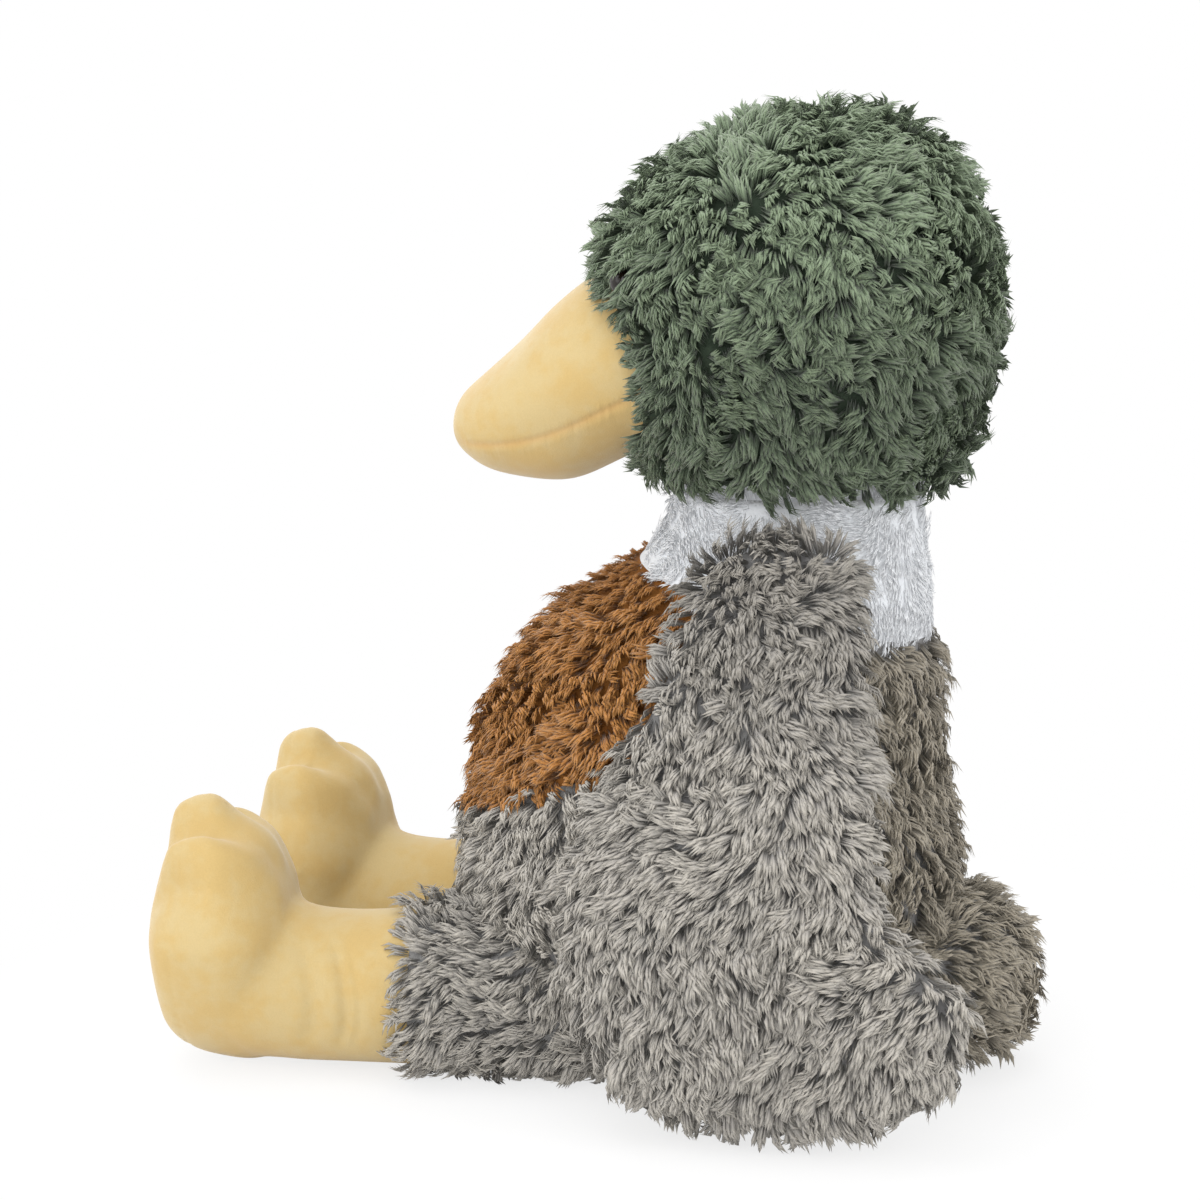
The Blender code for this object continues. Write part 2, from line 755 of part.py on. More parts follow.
def make_eye(word, place, black):
    """A domed plastic eye and the shank that holds it, in one moulding."""
    lift = 2 * GAP
    profile = [(0.0, -EYE_SHANK_LENGTH), (EYE_SHANK_RADIUS, -EYE_SHANK_LENGTH)]
    profile += [(EYE_SHANK_RADIUS, lift), (EYE_RADIUS, lift)]
    for k in range(1, EYE_DOME_STEPS + 1):
        turn = math.pi / 2 * k / EYE_DOME_STEPS
        profile.append((EYE_RADIUS * math.cos(turn), lift + EYE_BULGE * math.sin(turn)))
    profile[-1] = (0.0, profile[-1][1])
    return turned(f"eye_{word}", profile, EYE_AROUND, place, black)


def make_washer(word, place, steel):
    """The round plate that grips the eye's shank inside the cover."""
    high = -COVER - WASHER_BEDDING
    low = high - WASHER_THICKNESS
    name = f"eye_washer_{word}"
    profile = [(0.0, low), (WASHER_RADIUS, low), (WASHER_RADIUS, high), (0.0, high)]
    washer = turned(name, profile, EYE_AROUND, place, steel)
    hole = EYE_SHANK_RADIUS + GAP
    return cut(washer, cylinder(f"{name}_hole", hole, low - OVERRUN, high + OVERRUN, place))


def make_wing(side, word, grey, fibre):
    frame = wing_frame(side)
    cover = loft(f"wing_cover_{word}", wing_rows(), WING_AROUND, frame, material=grey)
    hollow = helper(loft(f"wing_hollow_{word}", wing_rows(COVER), INNER_AROUND, frame))
    cut(hollow, helper(body_form(f"wing_lining_{word}", -GAP - COVER)))
    port = block(f"wing_port_{word}", (-OVERRUN, -WING_PORT, WING_PORT / 4), (0.0, WING_PORT, WING_PORT), frame)
    cut(cover, helper(body_form(f"wing_bed_{word}", -GAP)), hollow, port)
    filling = loft(f"wing_filling_{word}", wing_rows(COVER + GAP), INNER_AROUND, frame, material=fibre)
    cut(filling, helper(body_form(f"wing_backing_{word}", -2 * GAP - COVER)))
    return cover, filling


def leg_core(name, side, inset, material=None):
    """All that lies inside the leg's covers, from the hip to the toes."""
    frame = leg_frame(side)
    core = ball(name, hip(side), HIP_RADIUS - inset, INNER_AROUND)
    if material:
        core.data.materials.append(material)
    tube = loft(f"{name}_tube", leg_rows(0.0, LEG_LENGTH, inset, SLEEVE_SPANS + SHANK_SPANS), INNER_AROUND, frame)
    pad = loft(f"{name}_pad", foot_rows(inset), FOOT_INNER_AROUND, frame, webbed)
    return join(core, helper(tube), helper(pad))


def make_leg(side, word, floor, grey, cream, fibre):
    frame = leg_frame(side)
    core = helper(leg_core(f"leg_core_{word}", side, COVER))

    thigh = ball(f"thigh_{word}", hip(side), HIP_RADIUS, LEG_AROUND)
    thigh.data.materials.append(grey)
    rows = leg_rows(0.0, CUFF_DISTANCE - GAP, -SLEEVE_STEP, SLEEVE_SPANS)
    join(thigh, helper(loft(f"thigh_tube_{word}", rows, LEG_AROUND, frame)))
    cut(thigh, floor, core)

    upper = loft(
        f"foot_{word}", leg_rows(CUFF_DISTANCE, LEG_LENGTH, 0.0, SHANK_SPANS), LEG_AROUND, frame,
        material=cream,
    )
    pad = helper(loft(f"foot_pad_{word}", foot_rows(), FOOT_AROUND, frame, webbed))
    cut(pad, floor)
    join(upper, pad)
    seam = LEG_LENGTH - FOOT_SETBACK + FOOT_THICKNESS - SOLE_SEAM_DEPTH
    beyond = block(f"beyond_seam_{word}", (-BIG, -BIG, seam), (BIG, BIG, BIG), frame)
    cut(upper, floor, beyond, core)

    sole = loft(f"sole_{word}", foot_rows(), FOOT_AROUND, frame, webbed, cream)
    behind = block(f"behind_seam_{word}", (-BIG, -BIG, -BIG), (BIG, BIG, seam + GAP), frame)
    cut(sole, floor, behind, core)

    filling = leg_core(f"leg_filling_{word}", side, COVER + GAP, fibre)
    return thigh, upper, sole, filling


def make_tail(grey, fibre):
    frame = tail_frame()
    bed = helper(body_form("tail_bed", -GAP))
    cover = loft("tail_cover", tail_rows(), TAIL_AROUND, frame, material=grey)
    hollow = helper(loft("tail_hollow", tail_rows(COVER), INNER_AROUND, frame))
    cut(cover, hollow, bed)
    filling = loft("tail_filling", tail_rows(COVER + GAP), INNER_AROUND, frame, material=fibre)
    cut(filling, bed)


def main():
    clear_scene()
    grey = finish("grey plush", (0.36, 0.33, 0.29), 0.95)
    brown = finish("brown plush", (0.30, 0.11, 0.03), 0.95)
    white = finish("white plush", (0.78, 0.79, 0.81), 0.95)
    green = finish("green plush", (0.10, 0.16, 0.09), 0.95)
    cream = finish("cream velour", (0.80, 0.65, 0.34), 0.85)
    fibre = finish("polyester filling", (0.85, 0.85, 0.84), 0.95)
    calico = finish("calico bag", (0.70, 0.66, 0.56), 0.9)
    black = finish("black eye", (0.01, 0.008, 0.006), 0.12)
    steel = finish("washer", (0.75, 0.75, 0.73), 0.5)

    floor = block("under_floor", (-BIG, -BIG, -OVERRUN), (BIG, BIG, 0.0))
    make_body(grey, brown, white, fibre, calico)
    make_tail(grey, fibre)
    head_pieces = make_head(green, cream, black, steel, fibre)
    carry(joint_frame("neck_ball", neck_ball_centre()), *head_pieces)
    for side, word in SIDES:
        carry(joint_frame(f"shoulder_{word}", shoulder(side)), *make_wing(side, word, grey, fibre))
        carry(joint_frame(f"hip_{word}", hip(side)), *make_leg(side, word, floor, grey, cream, fibre))


main()
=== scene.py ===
"""Seated plush duck: sewn covers with a shaggy pile, padded velour bill and webbed feet."""
import json
import math

import bmesh
import bpy
import numpy as np
from mathutils import Matrix, Vector

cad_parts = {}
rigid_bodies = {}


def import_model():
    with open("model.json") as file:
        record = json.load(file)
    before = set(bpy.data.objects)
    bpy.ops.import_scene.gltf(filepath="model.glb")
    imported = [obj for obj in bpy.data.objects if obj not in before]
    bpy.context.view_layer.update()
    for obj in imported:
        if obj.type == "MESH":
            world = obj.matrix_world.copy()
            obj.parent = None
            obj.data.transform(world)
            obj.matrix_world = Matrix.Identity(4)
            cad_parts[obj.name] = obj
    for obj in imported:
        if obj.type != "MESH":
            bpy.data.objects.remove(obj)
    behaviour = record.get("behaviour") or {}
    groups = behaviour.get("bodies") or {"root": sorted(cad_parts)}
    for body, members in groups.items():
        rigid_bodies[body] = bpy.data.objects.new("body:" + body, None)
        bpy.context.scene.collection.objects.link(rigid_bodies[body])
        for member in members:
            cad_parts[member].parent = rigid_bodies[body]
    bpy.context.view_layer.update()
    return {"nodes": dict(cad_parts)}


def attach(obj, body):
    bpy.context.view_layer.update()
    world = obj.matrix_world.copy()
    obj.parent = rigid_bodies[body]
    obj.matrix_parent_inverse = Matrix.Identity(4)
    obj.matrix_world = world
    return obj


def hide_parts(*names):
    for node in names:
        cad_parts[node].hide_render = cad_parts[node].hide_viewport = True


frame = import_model()

# Sizes that the solids have too
BODY_HEIGHT, BODY_DEPTH, BODY_WIDTH = 0.258, 0.221, 0.216
NECK_RADIUS, NECK_SETBACK = 0.058, 0.038
BODY_SHARES = (
    (0.000, -0.005, 0.348, 0.324),
    (0.039, -0.005, 0.421, 0.398),
    (0.124, 0.004, 0.467, 0.468),
    (0.240, 0.009, 0.489, 0.498),
    (0.357, 0.007, 0.493, 0.500),
    (0.465, -0.001, 0.471, 0.481),
    (0.581, 0.005, 0.453, 0.444),
    (0.698, 0.038, 0.419, 0.394),
    (0.795, 0.097, 0.360, 0.340),
    (0.872, 0.147, 0.301, 0.296),
)
NECK_SHARES = ((0.938, 1.03), (1.0, 1.0))
BAND_FRONT_HEIGHT, BAND_SLOPE = 0.222, math.radians(14)
BREAST_LOW_HEIGHT, BREAST_LOW_SLOPE, BREAST_SIDE_REACH = 0.110, math.radians(21), 0.02
NECK_BALL_DROP = 0.043
HEAD_HEIGHT, HEAD_DEPTH, HEAD_WIDTH, HEAD_SINK = 0.159, 0.172, 0.172, 0.0015
HEAD_SHARES = (
    (0.000, 0.009, 0.322),
    (0.028, 0.009, 0.383),
    (0.116, 0.003, 0.428),
    (0.223, -0.009, 0.462),
    (0.349, -0.006, 0.491),
    (0.500, -0.006, 0.500),
    (0.645, -0.009, 0.483),
    (0.777, 0.006, 0.422),
    (0.884, 0.035, 0.329),
    (0.959, 0.055, 0.204),
    (1.000, 0.061, 0.081),
)
BILL_LENGTH, BILL_HEIGHT, BILL_WIDTH = 0.0855, 0.087, 0.114
BILL_ROOT_DEPTH, BILL_TIP_RISE, BILL_TUCK = 0.0195, 0.022, 0.010
BILL_SEAM_TIP_DROP, BILL_SEAM_SLOPE = 0.0075, math.radians(13)
BILL_SHARES = (
    (0.000, 0.370, 0.490, 0.500),
    (0.234, 0.293, 0.499, 0.480),
    (0.444, 0.189, 0.453, 0.445),
    (0.643, 0.084, 0.359, 0.400),
    (0.819, 0.025, 0.267, 0.335),
    (0.953, 0.010, 0.165, 0.235),
    (1.000, 0.000, 0.079, 0.110),
)
EYE_RADIUS, EYE_TURN, EYE_HEIGHT_SHARE = 0.006, math.radians(41), 0.56
WING_LENGTH, WING_WIDTH, WING_THICKNESS = 0.230, 0.164, 0.037
SHOULDER_HEIGHT, SHOULDER_SPREAD, SHOULDER_SETBACK = 0.2275, 0.0775, 0.045
WING_TOP_RISE, WING_SPREAD, WING_RIGHT_SWING = 0.0135, 0.0505, math.radians(-17)
WING_SHARES = (
    (0.000, 0.024, 0.060, 0.000, 0.120),
    (0.016, 0.012, 0.146, 0.000, 0.280),
    (0.060, 0.000, 0.189, 0.000, 0.365),
    (0.129, -0.012, 0.213, 0.110, 0.400),
    (0.248, -0.024, 0.262, 0.405, 0.440),
    (0.359, -0.040, 0.308, 0.610, 0.470),
    (0.443, -0.061, 0.335, 0.745, 0.490),
    (0.599, -0.088, 0.381, 0.900, 0.500),
    (0.692, -0.034, 0.442, 0.960, 0.500),
    (0.745, 0.027, 0.497, 0.985, 0.500),
    (0.825, 0.043, 0.482, 1.000, 0.490),
    (0.900, 0.040, 0.430, 1.000, 0.450),
    (0.962, 0.030, 0.323, 0.990, 0.340),
    (1.000, 0.046, 0.168, 0.980, 0.180),
)
HIP_SPREAD, HIP_SETBACK, HIP_RADIUS, FLOOR_CUT = 0.052, -0.018, 0.039, 0.0005
LEG_SPLAY = {1: math.radians(7), -1: math.radians(3)}
LEG_LENGTH, LEG_THICKNESS, CUFF_DISTANCE = 0.188, 0.075, 0.098
LEG_SHARES = (
    (0.000, 0.513, 0.487, 0.500),
    (0.186, 0.513, 0.493, 0.500),
    (0.372, 0.505, 0.487, 0.493),
    (0.521, 0.487, 0.467, 0.480),
    (0.691, 0.473, 0.453, 0.467),
    (0.809, 0.493, 0.467, 0.487),
    (0.904, 0.590, 0.500, 0.576),
    (1.000, 0.690, 0.533, 0.676),
)
FOOT_HEIGHT, FOOT_WIDTH, FOOT_THICKNESS, FOOT_SETBACK = 0.122, 0.094, 0.0595, 0.0345
SOLE_SEAM_DEPTH, TOE_TURN = 0.0135, math.radians(42)
TOE_NOTCH_SHARE, HEEL_TAPER_SHARE = 0.13, 0.26
FOOT_SHARES = (
    (0.000, 0.50),
    (0.134, 0.80),
    (0.303, 0.96),
    (0.471, 1.00),
    (0.639, 0.985),
    (0.807, 0.95),
    (0.933, 0.86),
    (1.000, 0.66),
)
TAIL_LENGTH, TAIL_HEIGHT, TAIL_WIDTH = 0.0585, 0.074, 0.090
TAIL_ROOT_DEPTH, TAIL_LOW = 0.0255, 0.006
TAIL_SHARES = (
    (0.000, 0.515, 0.486, 0.500),
    (0.342, 0.505, 0.500, 0.500),
    (0.632, 0.495, 0.480, 0.450),
    (0.855, 0.470, 0.385, 0.340),
    (0.957, 0.445, 0.265, 0.220),
    (1.000, 0.430, 0.125, 0.110),
)

NECK_BALL_RADIUS = math.hypot(NECK_RADIUS, NECK_BALL_DROP)
NECK_BALL_MIDDLE = Vector((0.0, NECK_SETBACK, BODY_HEIGHT - NECK_BALL_DROP))

# Sizes of the dressed toy
PILE_DEPTH = 0.0046  # how far a skin lies inside its solid, to leave room for the pile
BIG = 0.6  # more than the toy's size
LEAST_HALF = 0.001
NECK_HALF = 0.0505
BREAST_PILE, HEAD_PILE, WING_PILE = 0.0145, 0.0145, 0.0152
EYE_RIM, EYE_DOME, EYE_SWELL = 0.0004, 0.0040, 0.0036
BILL_SAG, BILL_SAG_LENGTH = 0.0055, 0.074
ANKLE_FOLDS = ((0.119, 0.0012, 0.0024), (0.1250, 0.0020, 0.0026), (0.139, 0.0018, 0.0042))
SIDES = ((1, "left"), (-1, "right"))
UPRIGHT = Matrix.Identity(4)
WHITE = (1.0, 1.0, 1.0, 1.0)


# ---- nodes and materials
def new_node(tree, kind, settings=None, inputs=None):
    """Adds a node with its settings and its sockets' values or links, and gives its outputs."""
    made = tree.nodes.new(kind)
    for key, value in (settings or {}).items():
        setattr(made, key, value)
    for key, value in (inputs or {}).items():
        if isinstance(value, bpy.types.NodeSocket):
            tree.links.new(value, made.inputs[key])
        else:
            made.inputs[key].default_value = value
    return made.outputs


class Wire:
    """A number, a colour or a vector in a material, which arithmetic turns into nodes."""

    def __init__(self, finish, socket):
        self.finish, self.socket = finish, socket

    def __add__(self, other):
        return self.finish.node("ShaderNodeMath", {"operation": "ADD"}, self, other)

    def __mul__(self, other):
        return self.finish.node("ShaderNodeMath", {"operation": "MULTIPLY"}, self, other)

    def between(self, low, high):
        """0 below low and 1 above high, smooth in between."""
        settings = {"interpolation_type": "SMOOTHSTEP"}
        return self.finish.node("ShaderNodeMapRange", settings, self, low, high)


class Finish:
    """A material under construction."""

    def __init__(self, name, **constants):
        self.material = bpy.data.materials.new(name)
        self.material.use_nodes = True
        self.tree = self.material.node_tree
        self.shader = self.tree.nodes["Principled BSDF"]
        self.feed(**constants)

    def node(self, kind, settings=None, *values, output=0, **named):
        """Any node: its settings first, then the values or links of its sockets."""
        inputs = dict(enumerate(values)) | {name.replace("_", " "): value for name, value in named.items()}
        inputs = {key: getattr(value, "socket", value) for key, value in inputs.items() if value is not None}
        return Wire(self, new_node(self.tree, kind, settings, inputs)[output])

    def place(self):
        return self.node("ShaderNodeTexCoord", output="Object")

    def noise(self, scale, detail, where=None):
        return self.node("ShaderNodeTexNoise", Vector=where or self.place(), Scale=scale, Detail=detail)

    def ramp(self, factor, *stops):
        made = self.node("ShaderNodeValToRGB", None, factor)
        elements = made.socket.node.color_ramp.elements
        while len(elements) < len(stops):
            elements.new(0.5)
        for element, (place, colour) in zip(elements, stops):
            element.position, element.color = place, (*colour, 1.0)
        return made

    def mixed(self, factor, a, b, blend="MIX"):
        """The socket numbers of the mixed colours are 6 and 7."""
        settings = {"data_type": "RGBA", "blend_type": blend}
        a, b = (value if isinstance(value, Wire) else (*value, 1.0) for value in (a, b))
        return self.node("ShaderNodeMix", settings, factor, *[None] * 5, a, b, output=2)

    def bump(self, height, strength, distance):
        return self.node("ShaderNodeBump", Strength=strength, Distance=distance, Height=height)

    def feed(self, **sockets):
        """Sets or links the shader's sockets."""
        for name, value in sockets.items():
            socket = self.shader.inputs[name.replace("_", " ")]
            if isinstance(value, Wire):
                self.tree.links.new(value.socket, socket)
            else:
                socket.default_value = value
        return self.material


def shade(*screen):
    """A screen colour, 0 to 255, as the linear colour that a shader takes."""
    return tuple(c / 255 / 12.92 if c < 10.3 else ((c / 255 + 0.055) / 1.055) ** 2.4 for c in screen)


# ---- forms
def smooth_rows(rows, steps):
    """The rows and steps - 1 more in each span, on a smooth curve through them."""
    found, last = [], len(rows) - 1
    for i in range(last):
        before, here, after, beyond = (rows[max(0, min(last, i + k))] for k in (-1, 0, 1, 2))
        for step in range(steps):
            t = step / steps
            found.append(
                tuple(
                    b + t * (c - a + t * (2 * a - 5 * b + 4 * c - d + t * (3 * (b - c) + d - a))) / 2
                    for a, b, c, d in zip(before, here, after, beyond)
                )
            )
    found.append(rows[last])
    return found


def inset_rows(rows, inset, open_start=False):
    """Rows of (along, middle a, middle b, half a, half b) moved inward, square to the surface."""
    found, last = [], len(rows) - 1
    for i, (along, mid_a, mid_b, half_a, half_b) in enumerate(rows):
        low, high = rows[max(0, i - 1)], rows[min(last, i + 1)]
        run, rise = high[0] - low[0], (high[3] + high[4] - low[3] - low[4]) / 2
        length = math.hypot(run, rise)
        shift = inset * rise / length
        if i == 0:
            shift = 0.0 if open_start else inset
        if i == last:
            shift = -inset
        shrink = inset * abs(run) / length
        halves = (max(half - shrink, LEAST_HALF) for half in (half_a, half_b))
        found.append((along + shift, mid_a, mid_b, *halves))
    return found


def oval(turn):
    return math.cos(turn), math.sin(turn)


def loft(name, rows, around, frame_of=UPRIGHT, outline=oval, sides=1, caps=1):
    """A closed form through ovals of (along, middle a, middle b, half a, half b) in the frame's z, x, y.
    Pile grows on its sides and its caps where they are 1."""
    bm = bmesh.new()
    outer = bm.faces.layers.int.new("outer")
    rings = []
    for along, mid_a, mid_b, half_a, half_b in rows:
        ring = []
        for k in range(around):
            a, b = outline(math.tau * k / around)
            ring.append(bm.verts.new(frame_of @ Vector((mid_a + half_a * a, mid_b + half_b * b, along))))
        rings.append(ring)
    for lower, upper in zip(rings, rings[1:]):
        for k in range(around):
            m = (k + 1) % around
            bm.faces.new((lower[k], lower[m], upper[m], upper[k]))[outer] = sides
    for ring in (rings[0], rings[-1]):
        middle = bm.verts.new(sum((v.co for v in ring), Vector()) / around)
        for k in range(around):
            bm.faces.new((ring[k], ring[(k + 1) % around], middle))[outer] = caps
    return mesh_object(name, bm)


def placed(name, data):
    """A new object of the scene."""
    made = bpy.data.objects.new(name, data)
    bpy.context.scene.collection.objects.link(made)
    return made


def mesh_object(name, bm):
    bm.normal_update()
    bmesh.ops.recalc_face_normals(bm, faces=bm.faces)
    mesh = bpy.data.meshes.new(name)
    bm.to_mesh(mesh)
    bm.free()
    mesh.shade_smooth()
    return placed(name, mesh)


def block(low, high):
    bm = bmesh.new()
    bmesh.ops.create_cube(bm, size=1.0)
    for vertex in bm.verts:
        vertex.co = [high[i] if vertex.co[i] > 0 else low[i] for i in range(3)]
    return mesh_object("region", bm)


def settled(obj, *modifiers):
    """The object's mesh with its modifiers made real, and no modifier left."""
    for kind, settings in modifiers:
        modifier = obj.modifiers.new(kind.lower(), kind)
        for key, value in settings.items():
            setattr(modifier, key, value)
    graph = bpy.context.evaluated_depsgraph_get()
    mesh = bpy.data.meshes.new_from_object(obj.evaluated_get(graph))
    obj.modifiers.clear()
    old, obj.data = obj.data, mesh
    bpy.data.meshes.remove(old)
    return obj


def combined(obj, operation, *others):
    for other in others:
        settled(obj, ("BOOLEAN", {"operation": operation, "solver": "EXACT", "object": other}))
        bpy.data.objects.remove(other)
    return obj


def values_of(data, name, width=1, kind=float):
    """One number, or one row of width numbers, for each item."""
    found = np.zeros(len(data) * width, kind)
    data.foreach_get(name, found)
    return found.reshape(-1, width) if width > 1 else found


def write_values(obj, name, values):
    """Writes one number or one vector on each point of the mesh."""
    kind, field = ("FLOAT", "value") if values.ndim == 1 else ("FLOAT_VECTOR", "vector")
    layers = obj.data.attributes
    layer = layers[name] if name in layers else layers.new(name, kind, "POINT")
    layer.data.foreach_set(field, values.astype(np.float32).ravel())


def points_of(obj):
    return values_of(obj.data.vertices, "co", 3)


def normals_of(obj):
    return values_of(obj.data.vertex_normals, "vector", 3)


def move_points(obj, points):
    obj.data.vertices.foreach_set("co", np.asarray(points, float).ravel())
    obj.data.update()


def world_points(points, frame_of):
    return (np.c_[points, np.ones(len(points))] @ np.array(frame_of).T)[:, :3]


def local_points(points, frame_of):
    return world_points(points, frame_of.inverted())


def near(points, centre):
    return np.linalg.norm(points - np.array(centre), axis=1)


def eased(value, low, high):
    """0 below low and 1 above high, smooth in between."""
    t = np.clip((value - low) / (high - low), 0.0, 1.0)
    return t * t * (3 - 2 * t)


def ring(along, half):
    """The row of a round section."""
    return along, 0, 0, half, half


def body_rows(inset=0.0):
    rows = [
        (h * BODY_HEIGHT, 0.0, mid * BODY_DEPTH, wide * BODY_WIDTH, deep * BODY_DEPTH)
        for h, mid, deep, wide in BODY_SHARES
    ]
    rows += [(h * BODY_HEIGHT, 0.0, NECK_SETBACK, r * NECK_RADIUS, r * NECK_RADIUS) for h, r in NECK_SHARES]
    return inset_rows(smooth_rows(rows, 4), inset)


def head_base():
    return Vector((0.0, NECK_SETBACK, BODY_HEIGHT - HEAD_SINK))


def head_rows(inset=0.0, steps=4):
    base = head_base()
    rows = [
        (base.z + h * HEAD_HEIGHT, 0.0, base.y + mid * HEAD_DEPTH, r * HEAD_WIDTH, r * HEAD_DEPTH)
        for h, mid, r in HEAD_SHARES
    ]
    return inset_rows(smooth_rows(rows, steps), inset)


def bill_frame():
    base = head_base()
    root = Vector((0.0, base.y - HEAD_DEPTH / 2 + BILL_ROOT_DEPTH, base.z + BILL_TIP_RISE))
    return Matrix.Translation(root) @ Matrix.Rotation(math.pi / 2, 4, "X")


def bill_rows(inset=0.0, tuck=BILL_TUCK):
    rows = [
        (s * BILL_LENGTH, 0.0, mid * BILL_HEIGHT, wide * BILL_WIDTH, high * BILL_HEIGHT)
        for s, mid, high, wide in BILL_SHARES
    ]
    rows = inset_rows(smooth_rows(rows, 5), inset, open_start=True)
    return [(-tuck, *rows[0][1:]), (-tuck / 2, *rows[0][1:])] + rows


def bill_seam_frame():
    tip = bill_frame() @ Vector((0.0, -BILL_SEAM_TIP_DROP, BILL_LENGTH))
    return Matrix.Translation(tip) @ Matrix.Rotation(BILL_SEAM_SLOPE, 4, "X")


def eye_frame(side):
    rows = head_rows(steps=1)
    height = rows[0][0] + EYE_HEIGHT_SHARE * HEAD_HEIGHT
    for low, high in zip(rows, rows[1:]):
        if low[0] <= height <= high[0]:
            t = (height - low[0]) / (high[0] - low[0])
            _, _, mid, half_x, half_y = (a + t * (b - a) for a, b in zip(low, high))
            lean = (low[3] - high[3]) / (high[0] - low[0])
    out = Vector((side * math.sin(EYE_TURN), -math.cos(EYE_TURN), lean)).normalized()
    place = Vector((side * half_x * math.sin(EYE_TURN), mid - half_y * math.cos(EYE_TURN), height))
    return Matrix.Translation(place) @ out.to_track_quat("Z", "Y").to_matrix().to_4x4()


def wing_frame(side):
    swing = Matrix.Rotation(WING_RIGHT_SWING if side < 0 else 0.0, 4, "X")
    axes = Matrix(((side, 0, 0, 0), (0, 1, 0, 0), (0, 0, -1, 0), (0, 0, 0, 1)))
    place = Vector((side * SHOULDER_SPREAD, SHOULDER_SETBACK, SHOULDER_HEIGHT))
    return Matrix.Translation(place) @ swing @ axes


def wing_rows(inset=0.0):
    rows = [
        (
            s * WING_LENGTH - WING_TOP_RISE,
            out * WING_SPREAD,
            mid * WING_WIDTH,
            thick * WING_THICKNESS,
            wide * WING_WIDTH,
        )
        for s, mid, wide, out, thick in WING_SHARES
    ]
    return inset_rows(smooth_rows(rows, 3), inset)


def hip(side):
    return Vector((side * HIP_SPREAD, HIP_SETBACK, HIP_RADIUS - FLOOR_CUT))


def leg_frame(side):
    turn = Matrix.Rotation(side * LEG_SPLAY[side], 4, "Z")
    axes = Matrix(((side, 0, 0, 0), (0, 0, -1, 0), (0, 1, 0, 0), (0, 0, 0, 1)))
    return Matrix.Translation(hip(side) - Vector((0, 0, hip(side).z))) @ turn @ axes


def leg_rows(first, last, inset=0.0, steps=12):
    rows = [
        (s * LEG_LENGTH, 0.0, mid * LEG_THICKNESS, wide * LEG_THICKNESS, high * LEG_THICKNESS)
        for s, mid, wide, high in LEG_SHARES
    ]
    fine = smooth_rows(rows, 8)
    found = []
    for k in range(steps + 1):
        along = first + (last - first) * k / steps
        place = min(max(along, fine[0][0]), fine[-1][0])
        for low, high in zip(fine, fine[1:]):
            if low[0] <= place <= high[0]:
                t = (place - low[0]) / (high[0] - low[0])
                row = [a + t * (b - a) for a, b in zip(low, high)]
        found.append((along, row[1], row[2], row[3] - inset, row[4] - inset))
    return found


def webbed(angle):
    """The foot's outline: narrow at the heel, with a notch on each side of the middle toe."""
    cosine, sine = math.cos(angle), math.sin(angle)
    turn = math.atan2(cosine, sine)
    size = 1.0
    if abs(turn) < 1.5 * TOE_TURN:
        size -= TOE_NOTCH_SHARE * (1 - math.cos(math.tau * turn / TOE_TURN)) / 2
    elif sine > 0:
        size -= TOE_NOTCH_SHARE * (math.pi / 2 - abs(turn)) / (math.pi / 2 - 1.5 * TOE_TURN)
    narrow = 1 - HEEL_TAPER_SHARE * max(0.0, -sine)
    return size * narrow * cosine, size * sine


def foot_rows(inset=0.0):
    middle, back = FOOT_HEIGHT / 2 - FLOOR_CUT, LEG_LENGTH - FOOT_SETBACK
    rows = [
        (back + s * FOOT_THICKNESS, 0.0, middle, size * FOOT_WIDTH / 2, size * FOOT_HEIGHT / 2)
        for s, size in FOOT_SHARES
    ]
    return inset_rows(smooth_rows(rows, 4), inset)


def tail_frame():
    root = Vector((0.0, BODY_DEPTH / 2 - TAIL_ROOT_DEPTH, TAIL_LOW))
    return Matrix.Translation(root) @ Matrix(((1, 0, 0, 0), (0, 0, 1, 0), (0, 1, 0, 0), (0, 0, 0, 1)))


def tail_rows(inset=0.0):
    rows = [
        (s * TAIL_LENGTH, 0.0, mid * TAIL_HEIGHT, wide * TAIL_WIDTH, high * TAIL_HEIGHT)
        for s, mid, high, wide in TAIL_SHARES
    ]
    rows = inset_rows(smooth_rows(rows, 4), inset, open_start=True)
    return [(-0.012, *rows[0][1:])] + rows


# ---- padding
def stuffed(obj, voxel, cap, held=None, pressure=4.0, soften=6):
    """The form blown up as a sewn cover by its filling, with each point's travel capped."""
    obj.data.remesh_voxel_size = voxel
    with bpy.context.temp_override(active_object=obj, object=obj, selected_objects=[obj]):
        bpy.ops.object.voxel_remesh()
    before = points_of(obj)
    cloth = obj.modifiers.new("padding", "CLOTH")
    options = cloth.settings
    options.quality = 5
    options.use_pressure = True
    options.uniform_pressure_force = pressure
    options.effector_weights.gravity = 0.0
    if held is not None:
        group = obj.vertex_groups.new(name="held")
        for index, weight in enumerate(held(before)):
            if weight > 0.01:
                group.add([index], float(min(weight, 1.0)), "REPLACE")
        options.vertex_group_mass = "held"
    cloth.point_cache.frame_start, cloth.point_cache.frame_end = 1, 20
    for step in range(1, 21):
        bpy.context.scene.frame_set(step)
    settled(obj)
    bpy.context.scene.frame_set(1)
    move = points_of(obj) - before
    length = np.linalg.norm(move, axis=1, keepdims=True)
    move *= np.minimum(1.0, cap / np.maximum(length, 1e-9))
    move_points(obj, before + move)
    obj.vertex_groups.clear()
    settled(obj, ("SMOOTH", {"factor": 0.5, "iterations": soften}))
    settled(obj, ("SUBSURF", {"levels": 1, "render_levels": 1}))
    obj.data.shade_smooth()
    return obj


